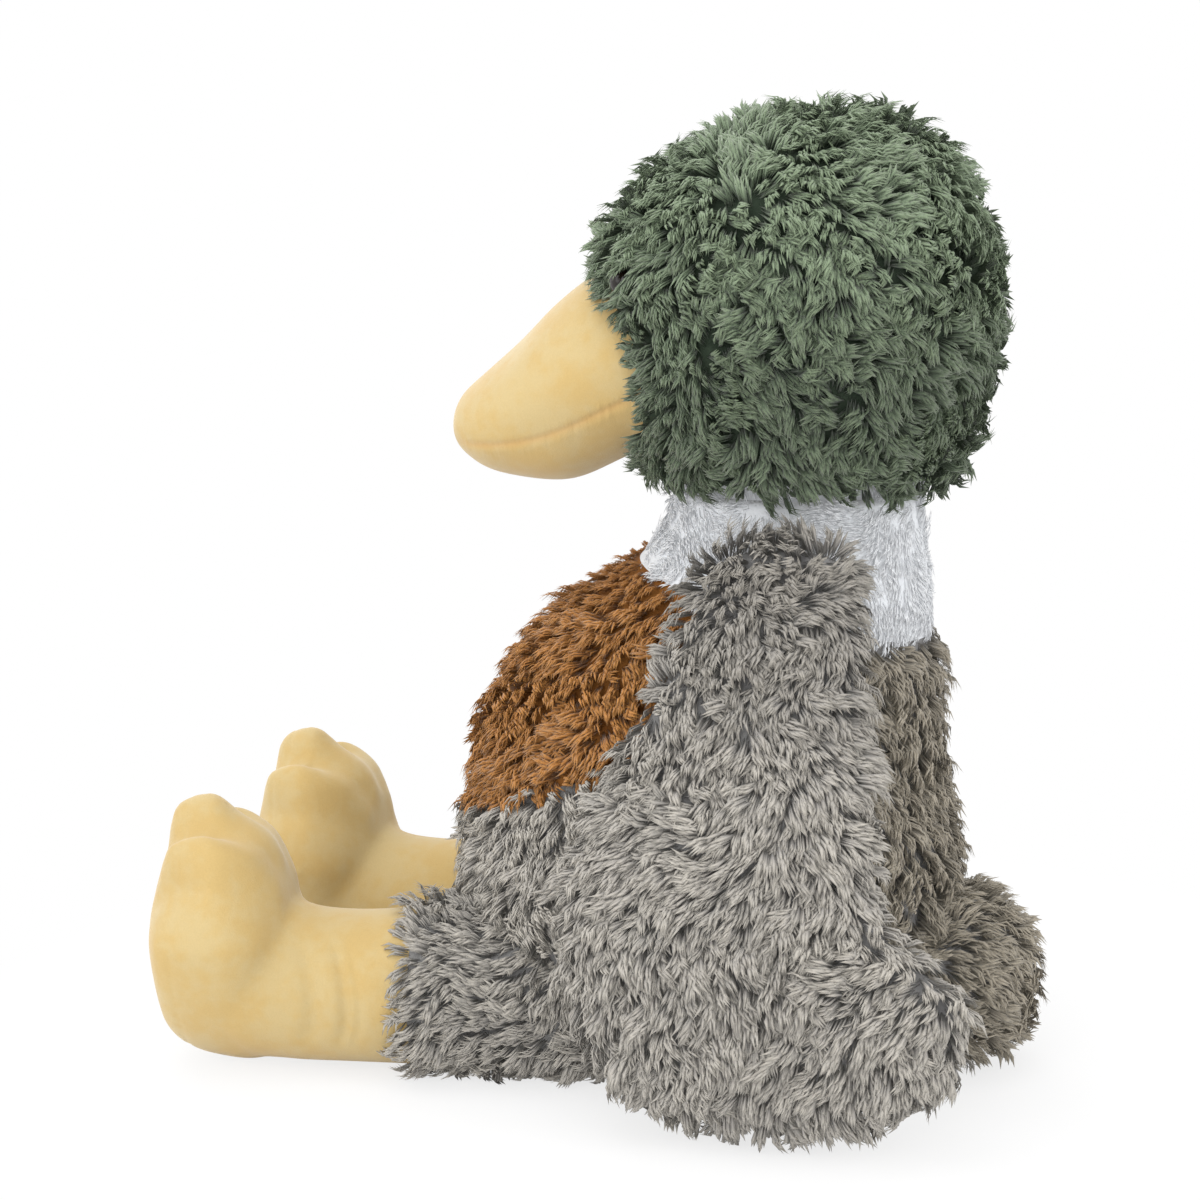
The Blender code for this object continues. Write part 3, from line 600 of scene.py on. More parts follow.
def pinched(obj, gap, depth, reach, gathered=0.0, fades=None):
    """Draws the points near a seam inward. gap is each point's distance from the seam."""
    points = points_of(obj)
    share = np.exp(-((gap(points) / reach) ** 2)) * (1.0 if fades is None else fades(points))
    move_points(obj, points - normals_of(obj) * (depth * share)[:, None])
    # The seam share also places the velour's painted shade in the seam's groove.
    write_values(obj, "seam", share)
    write_values(obj, "beside", gathered * np.exp(-((gap(points) / (3 * reach)) ** 2)))


# ---- pile
LOCK_KINDS, STRANDS, STRAND_WIDTH = 10, 13, 0.0415
STRAND_OUTLINE = ((1.0, -0.10), (0.0, 0.26), (-1.0, -0.10))
STRAY_TURNS = ((0.25, 0.25, 0.5), (-0.25, -0.45, -0.5))
MOST_LOCKS_PER_AREA = 400000.0
PILE_SEED = 11
PILE_FLOOR = 0.0006


def make_lock(index, spread, gather, low, high, strands, thick):
    """A tuft one unit long: fine strands that leave the backing together and end side by side."""
    draw = np.random.RandomState(PILE_SEED + index)
    bm = bmesh.new()
    uv = bm.loops.layers.uv.new("OFBake")
    curl = draw.uniform(-0.26, 0.26)
    lift = draw.uniform(low, high)
    for strand in range(strands):
        turn = math.tau * draw.uniform()
        out = math.sqrt(draw.uniform())
        size = draw.uniform(0.76, 1.04)
        side = Vector((out * math.cos(turn), out * math.sin(turn), 0.0))
        root = side * spread - Vector((0, 0, 0.05))
        bend = Vector((0.62, curl * 0.35, lift)) * size + side * (0.4 * spread + 0.6 * gather)
        tip = Vector((0.90, curl, lift + draw.uniform(-0.16, 0.04))) * size + side * gather
        ahead = (tip - root).normalized()
        roll = Matrix.Rotation(draw.uniform(-0.35, 0.35), 3, ahead)
        beside = roll @ Vector((0, 0, 1)).cross(ahead).normalized()
        across = ahead.cross(beside)
        width = thick * draw.uniform(0.8, 1.2)
        ring = [bm.verts.new(bend + width * (x * beside + y * across)) for x, y in STRAND_OUTLINE]
        start, end = bm.verts.new(root), bm.verts.new(tip)
        heights = {start: 0.02, end: 0.98, **{v: 0.68 for v in ring}}
        for pair in zip(ring, ring[1:] + ring[:1]):
            for face in (bm.faces.new((*pair, end)), bm.faces.new((*pair[::-1], start))):
                face.smooth = True
                for place, loop in enumerate(face.loops):
                    loop[uv].uv = (place / 2, heights[loop.vert])
    bmesh.ops.recalc_face_normals(bm, faces=bm.faces)
    mesh = bpy.data.meshes.new("lock")
    bm.to_mesh(mesh)
    bm.free()
    return bpy.data.objects.new(f"lock_{index}", mesh)


def make_locks(name, spread, gather, low, high, strands=STRANDS, thick=STRAND_WIDTH):
    group = bpy.data.collections.new(name)
    for index in range(LOCK_KINDS):
        group.objects.link(make_lock(index, spread, gather, low, high, strands, thick))
    return group


def make_pile_tree():
    """Locks set on a skin along its comb direction, and made one mesh."""
    tree = bpy.data.node_groups.new("Pile", "GeometryNodeTree")
    sockets = {"Geometry": "Geometry", "Spacing": "Float", "Low": "Float", "High": "Float"}
    sockets |= {"Unruly": "Float", "Seed": "Int", "Locks": "Collection", "Finish": "Material"}
    for name, kind in sockets.items():
        tree.interface.new_socket(name, in_out="INPUT", socket_type="NodeSocket" + kind)
    tree.interface.new_socket("Geometry", in_out="OUTPUT", socket_type="NodeSocketGeometry")

    def node(kind, inputs=None, **settings):
        return new_node(tree, kind, settings, inputs)

    def maths(operation, *values, kind="ShaderNodeMath", **settings):
        return node(kind, dict(enumerate(values)), operation=operation, **settings)[0]

    def attribute(name, kind="FLOAT"):
        return node("GeometryNodeInputNamedAttribute", {"Name": name}, data_type=kind)["Attribute"]

    def stored(geometry, name, value, kind, domain):
        inputs = {"Geometry": geometry, "Name": name, "Value": value}
        return node("GeometryNodeStoreNamedAttribute", inputs, data_type=kind, domain=domain)[0]

    def drawn(kind, low, high, seed):
        """A random value. Its sockets come in pairs, one pair for each kind."""
        pair = ("FLOAT_VECTOR", "FLOAT", "INT").index(kind)
        inputs = {2 * pair: low, 2 * pair + 1: high, "Seed": seed}
        return node("FunctionNodeRandomValue", inputs, data_type=kind)[pair]

    given = node("NodeGroupInput")
    spread = node(
        "GeometryNodeDistributePointsOnFaces",
        {
            "Mesh": given["Geometry"],
            "Distance Min": given["Spacing"],
            "Density Max": MOST_LOCKS_PER_AREA,
            "Density Factor": attribute("cover"),
            "Selection": attribute("outer", "INT"),
            "Seed": given["Seed"],
        },
        distribute_method="POISSON",
    )
    height = node("ShaderNodeSeparateXYZ", {0: node("GeometryNodeInputPosition")[0]})["Z"]
    above = maths("GREATER_EQUAL", height, given["Low"], kind="FunctionNodeCompare")
    below = maths("LESS_THAN", height, given["High"], kind="FunctionNodeCompare")
    inside = maths("AND", above, below, kind="FunctionNodeBooleanMath")
    inputs = {"Geometry": spread["Points"], "Selection": inside}
    kept = node("GeometryNodeSeparateGeometry", inputs, domain="POINT")["Selection"]

    turned = node("FunctionNodeAlignRotationToVector", {"Vector": spread["Normal"]}, axis="Z")[0]
    inputs = {"Rotation": turned, "Vector": attribute("comb", "FLOAT_VECTOR")}
    turned = node("FunctionNodeAlignRotationToVector", inputs, axis="X", pivot_axis="Z")[0]
    least, most = (
        node("ShaderNodeVectorMath", {0: limit, "Scale": given["Unruly"]}, operation="SCALE")[0]
        for limit in STRAY_TURNS
    )
    raised = node("ShaderNodeCombineXYZ", {"Y": attribute("raise")})[0]
    stray = maths("SUBTRACT", drawn("FLOAT_VECTOR", least, most, 1), raised, kind="ShaderNodeVectorMath")
    stray = node("FunctionNodeEulerToRotation", {0: stray})[0]
    turned = node("FunctionNodeRotateRotation", {0: turned, 1: stray}, rotation_space="LOCAL")[0]

    inputs = {"Collection": given["Locks"], "Separate Children": True, "Reset Children": True}
    planted = node(
        "GeometryNodeInstanceOnPoints",
        {
            "Points": kept,
            "Instance": node("GeometryNodeCollectionInfo", inputs)[0],
            "Pick Instance": True,
            "Instance Index": drawn("INT", 0, LOCK_KINDS - 1, 3),
            "Rotation": turned,
            "Scale": maths("MULTIPLY", attribute("pile"), drawn("FLOAT", 0.78, 1.18, 2)),
        },
    )[0]
    cloud = node("ShaderNodeTexNoise", {"Scale": 26.0, "Detail": 1.0})[0]
    patch = node("ShaderNodeMapRange", {"Value": cloud, 1: 0.3, 2: 0.7, 3: 0.0, 4: 0.45})[0]
    # Painted light and shade: the skin's attribute read here darkens each lock's tone above 0 and lightens
    # it below 0.
    bright = maths("SUBTRACT", patch, attribute("dim"))
    tone = maths("ADD", drawn("FLOAT", 0.0, 0.55, 4), bright, use_clamp=True)
    toned = stored(planted, "tone", tone, "FLOAT", "INSTANCE")
    whole = node("GeometryNodeRealizeInstances", {0: toned})[0]
    apart = node("ShaderNodeSeparateXYZ", {0: attribute("OFBake", "FLOAT_VECTOR")})
    across = maths("MULTIPLY_ADD", apart["X"], 0.04, 0.01)
    shifted = maths("MULTIPLY_ADD", attribute("tone"), 0.94, across)
    place = node("ShaderNodeCombineXYZ", {"X": shifted, "Y": apart["Y"]})[0]
    mapped = stored(whole, "OFBake", place, "FLOAT2", "CORNER")
    dyed = node("GeometryNodeSetMaterial", {"Geometry": mapped, "Material": given["Finish"]})[0]
    node("NodeGroupOutput", {0: dyed})
    return tree


def swirls(points, size, seed, count=18):
    """A smooth field of eddies about as wide as size, which whirls the pile into rosettes."""
    draw = np.random.RandomState(seed)
    found = np.zeros_like(points)
    for _ in range(count):
        wave = draw.normal(size=3)
        wave *= math.tau / (size * draw.uniform(1.3, 3.0)) / np.linalg.norm(wave)
        swing = np.cross(wave / np.linalg.norm(wave), draw.normal(size=3))
        found += np.cos(points @ wave + draw.uniform(0, math.tau))[:, None] * swing
    return found / math.sqrt(count)


def combed(skin, flow, curl, curl_size, length, cover, seed, raised=0.0, dim=0.0):
    """Writes the pile's direction, length, cover, raise and painted light and shade on each point of a skin.
    """
    points, normals = points_of(skin), normals_of(skin)
    eddies = swirls(points, curl_size, seed) + 0.7 * swirls(points, curl_size / 2, seed + 50)
    comb = flow(points, normals) + curl * eddies
    comb -= normals * (comb * normals).sum(axis=1, keepdims=True)
    comb /= np.maximum(np.linalg.norm(comb, axis=1, keepdims=True), 1e-6)
    write_values(skin, "comb", comb)
    uneven = np.tanh(1.6 * swirls(points, curl_size / 3, seed + 90))
    for name, value in (("pile", length), ("cover", cover), ("raise", raised), ("dim", dim)):
        found = value(points, normals) if callable(value) else np.full(len(points), value)
        if name == "pile":
            found = found * (1.0 + 0.14 * uneven[:, 0])
        if name == "raise":
            found = found + 0.22 * uneven[:, 1]
        write_values(skin, name, found)


def covered(skin, cover, name="cover"):
    """Writes anew how much pile there is on each point of a skin."""
    write_values(skin, name, cover(points_of(skin), normals_of(skin)))


def grown(name, skin, spacing, finish, locks, body, seed, unruly=1.0, parts=1):
    """The pile of one skin, in as many pieces as keep each one light."""
    mesh = skin.data
    cover = values_of(mesh.attributes["cover"].data, "value")
    outer = values_of(mesh.attributes["outer"].data, "value", 1, np.int32)
    points = points_of(skin)
    weights = np.array([p.area * cover[p.vertices[0]] * o for p, o in zip(mesh.polygons, outer)])
    heights = np.array([points[p.vertices[0], 2] for p in mesh.polygons])
    order = np.argsort(heights)
    running = np.cumsum(weights[order]) / weights.sum()
    between = [float(heights[order][np.searchsorted(running, k / parts)]) for k in range(1, parts)]
    limits = [-BIG, *between, BIG]
    keys = {item.name: item.identifier for item in PILE_TREE.interface.items_tree if item.in_out == "INPUT"}
    values = {"Spacing": spacing, "Unruly": unruly, "Seed": seed, "Locks": locks, "Finish": finish}
    for part, (low, high) in enumerate(zip(limits, limits[1:])):
        made = placed(f"{name}_{part + 1}" if parts > 1 else name, mesh.copy())
        modifier = made.modifiers.new("pile", "NODES")
        modifier.node_group = PILE_TREE
        for key, value in {**values, "Low": low, "High": high}.items():
            modifier[keys[key]] = value
        settled(made)
        points = points_of(made)
        points[:, 2] = np.maximum(points[:, 2], PILE_FLOOR)
        move_points(made, points)
        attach(made, body)


# ---- finishes
def pile_finish(name, *colours, uneven=0.42, painted_glow=0.07):
    """Brushed yarn, each lock a little different: darker towards the backing, as painted shade deep in the
    pile, and pale at the cut ends. The brightest locks take a painted highlight, the glint colour.
    A weak painted glow stands in for the light that its fibres pass on into the depth of the pile."""
    root, middle, tip, painted_glint = (shade(*colour) for colour in colours)
    made = Finish(name, Roughness=0.62, Sheen_Weight=0.15, Sheen_Roughness=0.5, Specular_IOR_Level=0.25)
    # A weak painted glow in the middle colour lifts the shade in the depth of the pile.
    made.feed(Emission_Color=(*middle, 1.0), Emission_Strength=painted_glow)
    place = made.node("ShaderNodeUVMap", {"uv_map": "OFBake"})
    tone = made.node("ShaderNodeSeparateXYZ", None, place, output=0)
    along = made.node("ShaderNodeSeparateXYZ", None, place, output=1)
    # Darker at the root: painted shade deep in the pile.
    colour = made.ramp(along, (0.0, root), (0.60, middle), (0.95, tip))
    colour = made.mixed(1.0, colour, tone * uneven + (1.0 - uneven / 2), "MULTIPLY")
    # Painted highlight: the brightest locks take the glint colour.
    colour = made.mixed(tone.between(0.55, 1.0) * 0.45, colour, painted_glint)
    return made.feed(Base_Color=colour)


def backing_finish(name, colour, deep, painted_glow=0.0):
    """The knitted cloth that the pile stands on; its emission strength is a weak painted glow that lifts its
    shade.
    """
    made = Finish(name, Roughness=0.95, Specular_IOR_Level=0.1, Emission_Strength=painted_glow)
    cloud = made.noise(60.0, 3.0)
    knit = made.noise(900.0, 2.0)
    base = made.mixed(cloud.between(0.35, 0.65), shade(*colour), shade(*deep))
    return made.feed(Base_Color=base, Normal=made.bump(knit, 0.6, 0.0006))


def velour_finish(name, *colours):
    """Short brushed nap that lies two ways in soft patches, with painted shade in the seams' grooves
    and a weak warm painted glow that lifts its shade.
    """
    pale, warm, seam_shade = (shade(*colour) for colour in colours)
    made = Finish(name, Roughness=0.82, Sheen_Weight=0.30, Sheen_Roughness=0.45, Specular_IOR_Level=0.15)
    # Painted glow in the warm colour, standing in for light that the nap passes on into its shade.
    made.feed(Emission_Color=(*warm, 1.0), Emission_Strength=0.11)
    patch = made.noise(34.0, 3.0)
    nap = made.noise(170.0, 4.0)
    fibre = made.noise(1500.0, 2.0)
    seam = made.node("ShaderNodeAttribute", {"attribute_name": "seam"}, output=2)
    beside = made.node("ShaderNodeAttribute", {"attribute_name": "beside"}, output=2)
    puckers = made.noise(1.0, 1.0, made.node("ShaderNodeMapping", None, made.place(), Scale=(40, 330, 60)))
    base = made.mixed((patch * 0.6 + nap * 0.4).between(0.38, 0.62), pale, warm)
    # Painted shade in the seam's groove, where it is gathered.
    base = made.mixed(seam * beside.between(0.0, 0.5) * 0.4, base, seam_shade)
    base = made.mixed(1.0, base, fibre * 0.16 + 0.92, "MULTIPLY")
    height = fibre * 0.14 + nap * 0.06 + puckers * beside
    return made.feed(Base_Color=base, Normal=made.bump(height, 0.9, 0.0010))


def eye_finish():
    made = Finish("eye_gloss", Specular_IOR_Level=0.35, Coat_Weight=0.1, Coat_Roughness=0.1)
    cloud = made.noise(240.0, 2.0)
    base = made.mixed(cloud, shade(16, 11, 8), shade(30, 20, 14))
    return made.feed(Base_Color=base, Roughness=cloud * 0.06 + 0.16)


def washer_finish():
    made = Finish("washer_moulding", Specular_IOR_Level=0.4)
    grain = made.noise(700.0, 3.0)
    base = made.mixed(grain, shade(214, 212, 205), shade(198, 195, 188))
    return made.feed(Base_Color=base, Roughness=grain * 0.2 + 0.4, Normal=made.bump(grain, 0.2, 0.0002))


# Painted glow strengths for the white band: its yarn and backing are greyer than white, and the glow makes
# up the rest and lifts their shade.
WHITE_BACKING_PAINTED_GLOW, WHITE_PILE_PAINTED_GLOW = 0.12, 0.17
# The green pile's strong uneven also spreads the head's painted light and shade.
GREEN_PILE = pile_finish(
    "green_pile", (64, 76, 62), (81, 94, 74), (125, 139, 111), (131, 147, 120), uneven=0.62, painted_glow=0.10
)
GREY_PILE = pile_finish("grey_pile", (145, 143, 140), (153, 149, 143), (174, 168, 157), (170, 165, 155))
# The back and tail pile is darker: partly the yarn's own colour, partly painted shade where they face away
# from the light.
DARK_GREY_PILE = pile_finish("back_pile", (109, 105, 98), (135, 128, 115), (168, 158, 140), (158, 150, 135))
BROWN_PILE = pile_finish("brown_pile", (112, 70, 32), (149, 99, 46), (182, 129, 68), (167, 112, 53))
WHITE_YARN = ((200, 203, 207), (206, 208, 211), (214, 215, 217), (218, 218, 221))
WHITE_PILE = pile_finish("white_pile", *WHITE_YARN, uneven=0.06, painted_glow=WHITE_PILE_PAINTED_GLOW)
# The green backing is darker than the yarn, as painted shade where it shows between the locks.
GREEN_BACKING = backing_finish("green_backing", (56, 66, 54), (46, 56, 45))
GREY_BACKING = backing_finish("grey_backing", (138, 137, 136), (118, 117, 117))
BROWN_BACKING = backing_finish("brown_backing", (134, 88, 42), (112, 70, 32))
WHITE_BACKING = backing_finish("white_backing", (206, 209, 213), (196, 199, 203), WHITE_BACKING_PAINTED_GLOW)
VELOUR = velour_finish("cream_nap", (183, 163, 118), (182, 156, 103), (194, 151, 94))


# ---- skins
def half(obj, point, normal):
    """The part of the form on the side that normal points to, closed flat."""
    bm = bmesh.new()
    bm.from_mesh(obj.data)
    whole = bm.verts[:] + bm.edges[:] + bm.faces[:]
    plane = {"dist": 1e-6, "plane_co": point, "plane_no": normal, "clear_inner": True}
    cut = bmesh.ops.bisect_plane(bm, geom=whole, **plane)["geom_cut"]
    edges = [part for part in cut if isinstance(part, bmesh.types.BMEdge)]
    faces = bmesh.ops.holes_fill(bm, edges=edges, sides=0)["faces"]
    outer = bm.faces.layers.int.get("outer")
    for face in faces:
        for edge in face.edges:
            edge.smooth = False
        if outer:
            face[outer] = 0
    bmesh.ops.triangulate(bm, faces=faces)
    bm.to_mesh(obj.data)
    bm.free()
    return obj


def finished(obj, finish, body, slot, fill, *replaced):
    obj.data.materials.clear()
    obj.data.materials.append(finish)
    for polygon in obj.data.polygons:
        polygon.material_index = 0
    obj.data.shade_smooth()
    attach(obj, body)
    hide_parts(*replaced)


def band_plane():
    front = Vector((0.0, BODY_SHARES[-1][1] * BODY_DEPTH - NECK_RADIUS, BAND_FRONT_HEIGHT))
    return front, Matrix.Rotation(-BAND_SLOPE, 3, "X") @ Vector((0, 0, 1))


def breast_plane():
    low = Vector((0.0, -BODY_DEPTH / 2, BREAST_LOW_HEIGHT))
    return low, Matrix.Rotation(BREAST_LOW_SLOPE, 3, "X") @ Vector((0, 0, 1))


def flow(*direction):
    """Pile combed one way."""
    return lambda points, normals: np.zeros_like(points) + direction


def body_skin(name):
    return loft(name, body_rows(PILE_DEPTH), 112)


def leg_room(side):
    """The space that one leg takes in the body's skin."""
    return loft("room", leg_rows(-0.03, CUFF_DISTANCE, -0.0022), 40, leg_frame(side), sides=0, caps=0)


def make_body_skins():
    top, up = band_plane()
    low, rise = breast_plane()
    band = half(body_skin("band_skin"), top, up)
    breast = half(half(body_skin("breast_skin"), top, -up), low, rise)
    half(breast, (0, BREAST_SIDE_REACH, 0), (0, -1, 0))
    body = half(body_skin("body_skin"), top, -up)
    space = block((-BIG, -BIG, -BIG), (BIG, BREAST_SIDE_REACH, BIG))
    combined(body, "DIFFERENCE", half(space, low, rise))
    for side, _ in SIDES:
        combined(body, "DIFFERENCE", leg_room(side))
    return body, breast, band


def seat_cover(points, normals):
    """No pile under the seat, where the duck sits on its cloth."""
    return 1.0 - eased(-normals[:, 2], 0.80, 0.95) * (points[:, 2] < 0.012)


def breast_flow(points, normals):
    """Down, and straighter under the neck band."""
    top = eased(points[:, 2], BAND_FRONT_HEIGHT - 0.030, BAND_FRONT_HEIGHT - 0.008)
    return np.c_[0 * top, 0 * top, -1.0 - 2.5 * top]


def breast_length(points, normals):
    """Shorter beside the neck band, so no tuft stands over the seam."""
    return BREAST_PILE * (1.0 - 0.45 * eased(points[:, 2], BAND_FRONT_HEIGHT - 0.024, BAND_FRONT_HEIGHT))


def belly_cover(points, normals):
    """The belly's pile, under the breast. The back's is darker."""
    return seat_cover(points, normals) * (1.0 - eased(points[:, 1], 0.004, 0.012))


def band_cover(points, normals):
    """No pile inside the ring that the head covers."""
    return np.hypot(points[:, 0], points[:, 1] - NECK_SETBACK) > 0.046


def band_raise(points, normals):
    return 1.25 * eased(points[:, 2], BODY_HEIGHT - 0.008, BODY_HEIGHT)


def neck_skin():
    """The soft plug that the head rocks on: a round column with the ball's top."""
    radius = NECK_BALL_RADIUS + 0.0025
    rows = [ring(0.020, 0.050), ring(0.042, NECK_HALF)]
    for step in range(9):
        turn = math.radians(42 + 46 * step / 8)
        rows.append(ring(radius * math.sin(turn), min(NECK_HALF, radius * math.cos(turn))))
    return loft("neck_skin", rows, 64, Matrix.Translation(NECK_BALL_MIDDLE))


def eye_gap(points):
    """Each point's distance from the nearer eye."""
    return np.minimum(*(near(points, eye_frame(side).translation) for side, _ in SIDES))


def head_skin():
    """The head, hollowed to the neck's ball and swelled a little round the eyes."""
    skin = loft("head_skin", head_rows(PILE_DEPTH), 112)
    radius = NECK_BALL_RADIUS + 0.0052
    turns = [math.pi * step / 24 for step in range(1, 24)]
    rows = [ring(-radius * math.cos(turn), radius * math.sin(turn)) for turn in turns]
    ball = Matrix.Translation(NECK_BALL_MIDDLE)
    combined(skin, "DIFFERENCE", loft("neck_room", rows, 72, ball, sides=0, caps=0))
    points = points_of(skin)
    swell = 1.0 - eased(eye_gap(points), 0.009, 0.018)
    move_points(skin, points + normals_of(skin) * (EYE_SWELL * swell)[:, None])
    return skin


def bill_reach(points):
    """How far out of the bill's outline a point of the head is: 1 on the outline."""
    local = local_points(points, bill_frame())
    shares = np.array(BILL_SHARES).T
    mid, high, wide = (np.interp(local[:, 2] / BILL_LENGTH, shares[0], share) for share in shares[1:])
    x = local[:, 0] / (wide * BILL_WIDTH)
    y = (local[:, 1] - mid * BILL_HEIGHT) / (high * BILL_HEIGHT)
    reach = np.hypot(x, y)
    reach[local[:, 2] < -0.05] = 9.0
    return reach


def head_flow(points, normals):
    away = points - np.array(bill_frame() @ Vector((0, BILL_SHARES[0][1] * BILL_HEIGHT, 0)))
    away /= np.linalg.norm(away, axis=1, keepdims=True)
    share = 1.0 - eased(bill_reach(points), 1.05, 1.40)
    return np.array((0.0, 0.35, -0.75)) - away * (1.6 * share)[:, None]


def head_raise(points, normals):
    """The pile beside the bill stands up along it."""
    return 0.70 * (1.0 - eased(bill_reach(points), 1.04, 1.30))


def head_painted_light(points, normals):
    """Painted light and shade: the pile is palest on the crown, where the light falls from above, and darker
    low on the head.
    """
    return 0.60 - 1.35 * eased(points[:, 2], BODY_HEIGHT + 0.020, BODY_HEIGHT + 0.150)


def head_cover(points, normals):
    cover = eased(bill_reach(points), 1.005, 1.03) * (eye_gap(points) > EYE_RADIUS - 0.0005)
    inward = np.hypot(points[:, 0], points[:, 1] - NECK_SETBACK) < 0.050
    return cover * ~(inward & (points[:, 2] < BODY_HEIGHT + 0.012))


def head_pile(points, normals):
    """Shorter beside the bill and the eyes."""
    length = HEAD_PILE * (0.70 + 0.30 * eased(bill_reach(points), 1.0, 1.35))
    return length * (0.8 + 0.2 * eased(eye_gap(points), 0.007, 0.016))


def wing_skin(side, name):
    skin = loft(f"wing_skin_{name}", wing_rows(PILE_DEPTH * 0.8), 84, wing_frame(side))
    return combined(skin, "DIFFERENCE", loft("body_room", body_rows(-0.001), 72))


def wing_flow(points, normals):
    """Back over the shoulder, then down and spread."""
    top = eased(points[:, 2], SHOULDER_HEIGHT - 0.026, SHOULDER_HEIGHT)
    return np.c_[0 * top, 3.0 * (points[:, 1] - SHOULDER_SETBACK) + 0.7 * top, 0.9 * top - 1.0]


def shoulder(points):
    return eased(points[:, 2], SHOULDER_HEIGHT - 0.018, SHOULDER_HEIGHT - 0.008)


def wing_raise(points, normals):
    return 0.45 * eased(points[:, 2], SHOULDER_HEIGHT - 0.020, SHOULDER_HEIGHT)


def wing_painted_shadow(points, normals):
    """Painted shadow: the pile is darkest towards the shoulder, in the head's shadow."""
    return 0.85 * eased(points[:, 2], SHOULDER_HEIGHT - 0.060, SHOULDER_HEIGHT - 0.010)


def wing_pile(side):
    def found(points, normals):
        inner = eased(-side * normals[:, 0], 0.2, 0.7)
        top = eased(points[:, 2], SHOULDER_HEIGHT - 0.010, SHOULDER_HEIGHT + 0.008)
        return WING_PILE * (1.0 - 0.35 * inner) * (1.0 - 0.15 * top)

    return found


def wing_cover(side, upper=False):
    def found(points, normals):
        share = shoulder(points) if upper else 1.0 - shoulder(points)
        return share * (1.0 - 0.45 * eased(-side * normals[:, 0], 0.2, 0.7))

    return found


def thigh_skin(side, name):
    """A leg's sleeve, a little wider at its cuff."""
    rows = []
    for along, mid_a, mid_b, half_a, half_b in leg_rows(0.004, CUFF_DISTANCE, PILE_DEPTH, 24):
        flare = 0.0035 * max(0.0, 1 - (CUFF_DISTANCE - along) / 0.018)
        rows.append((along, mid_a, mid_b, half_a + flare, half_b + flare))
    return loft(f"thigh_skin_{name}", rows, 72, leg_frame(side), caps=0)


def tail_skin():
    return loft("tail_skin", tail_rows(PILE_DEPTH), 72, tail_frame())


# ---- velour pieces
def seam_gap(frame_of):
    return lambda points: np.abs(local_points(points, frame_of)[:, 2])


def panels(form, name, plane, other_name):
    """The stuffed form cut along its seam into its two panels."""
    other = placed(other_name, form.data.copy())
    form.name = name
    ahead = plane.to_3x3() @ Vector((0, 0, 1))
    return half(form, plane.translation, ahead), half(other, plane.translation, -ahead)


def sagged(obj, plane, depth, length):
    """Lifts the form over its seam plane by a wave along the bill."""
    local = local_points(points_of(obj), plane)
    local[:, 2] += depth * np.sin(math.pi * (local[:, 1] - 0.05 * length) / length)
    move_points(obj, world_points(local, plane))


def make_bill():
    seam = bill_seam_frame()
    form = loft("bill", bill_rows(0.0010), 96, bill_frame())

    def held(points):
        return local_points(points, bill_frame())[:, 2] < 0.002

    def past_tip(points):
        return eased(local_points(points, seam)[:, 1], 0.001, 0.022)

    stuffed(form, 0.0018, 0.003, held)
    local = local_points(points_of(form), seam)
    local[:, 2] -= 0.0028 * np.exp(-(((local[:, 1] - 0.050) / 0.018) ** 2)) * eased(-local[:, 2], 0.0, 0.016)
    move_points(form, world_points(local, seam))
    sagged(form, seam, BILL_SAG, BILL_SAG_LENGTH)
    pinched(form, seam_gap(seam), 0.0008, 0.0018, 0.8, past_tip)
    both = panels(form, "bill_skin_upper", seam, "bill_skin_lower")
    for panel in both:
        sagged(panel, seam, -BILL_SAG, BILL_SAG_LENGTH)
    return both


SOLE_PLANE = LEG_LENGTH - FOOT_SETBACK + FOOT_THICKNESS - SOLE_SEAM_DEPTH


def toed(obj, side):
    """Thins the toes' tips, rounds the heel, draws in the webs and wrinkles the ankle."""
    frame_of = leg_frame(side)
    local = local_points(points_of(obj), frame_of)
    a, b, z = local.T
    back = LEG_LENGTH - FOOT_SETBACK
    pad = eased(z, back - 0.012, back + 0.010)
    middle = FOOT_HEIGHT / 2 - FLOOR_CUT
    turn = np.arctan2(a, b - middle)
    reach = np.hypot(a / (FOOT_WIDTH / 2), (b - middle) / (FOOT_HEIGHT / 2))
    outward, inside = eased(reach, 0.40, 0.95), eased(z, back + 0.006, back + 0.030)
    groove = np.zeros(len(a))
    for web in (-TOE_TURN / 2, TOE_TURN / 2):
        width = np.abs(turn - web) * np.hypot(a, b - middle)
        groove += np.exp(-((width / 0.0060) ** 2)) * outward * inside
    points = points_of(obj) - normals_of(obj) * (0.0042 * pad * groove)[:, None]
    local = local_points(points, frame_of)
    low = np.clip((0.026 - b) / 0.026, 0.0, 1.0) ** 2
    front = eased(z, back + 0.010, back + 0.045)
    thin = eased(b, 0.062, 0.112) * (1.0 - front)
    nub, tip = eased(b, 0.078, 0.112), eased(b, 0.095, 0.122)
    dent = np.exp(-(((b - 0.092) / 0.018) ** 2))
    onward = 0.0055 * thin + 0.0060 * tip * (1.0 - front) - (0.0035 * dent + 0.0005) * front - 0.009 * low
    local[:, 2] += pad * onward
    local[:, 1] += pad * (0.002 * nub - 0.0065 * tip * (1.0 - front))
    for place, depth, width in ANKLE_FOLDS:
        fold = depth * np.exp(-(((z - place - 10.0 * (b - 0.035) ** 2) / width) ** 2))
        fold *= eased(a, 0.010, 0.030) * eased(b, 0.012, 0.026) * (1 - eased(b, 0.050, 0.066))
        local[:, 0] -= fold
    points = world_points(local, frame_of)
    points[:, 2] = np.maximum(points[:, 2], 0.0)
    move_points(obj, points)


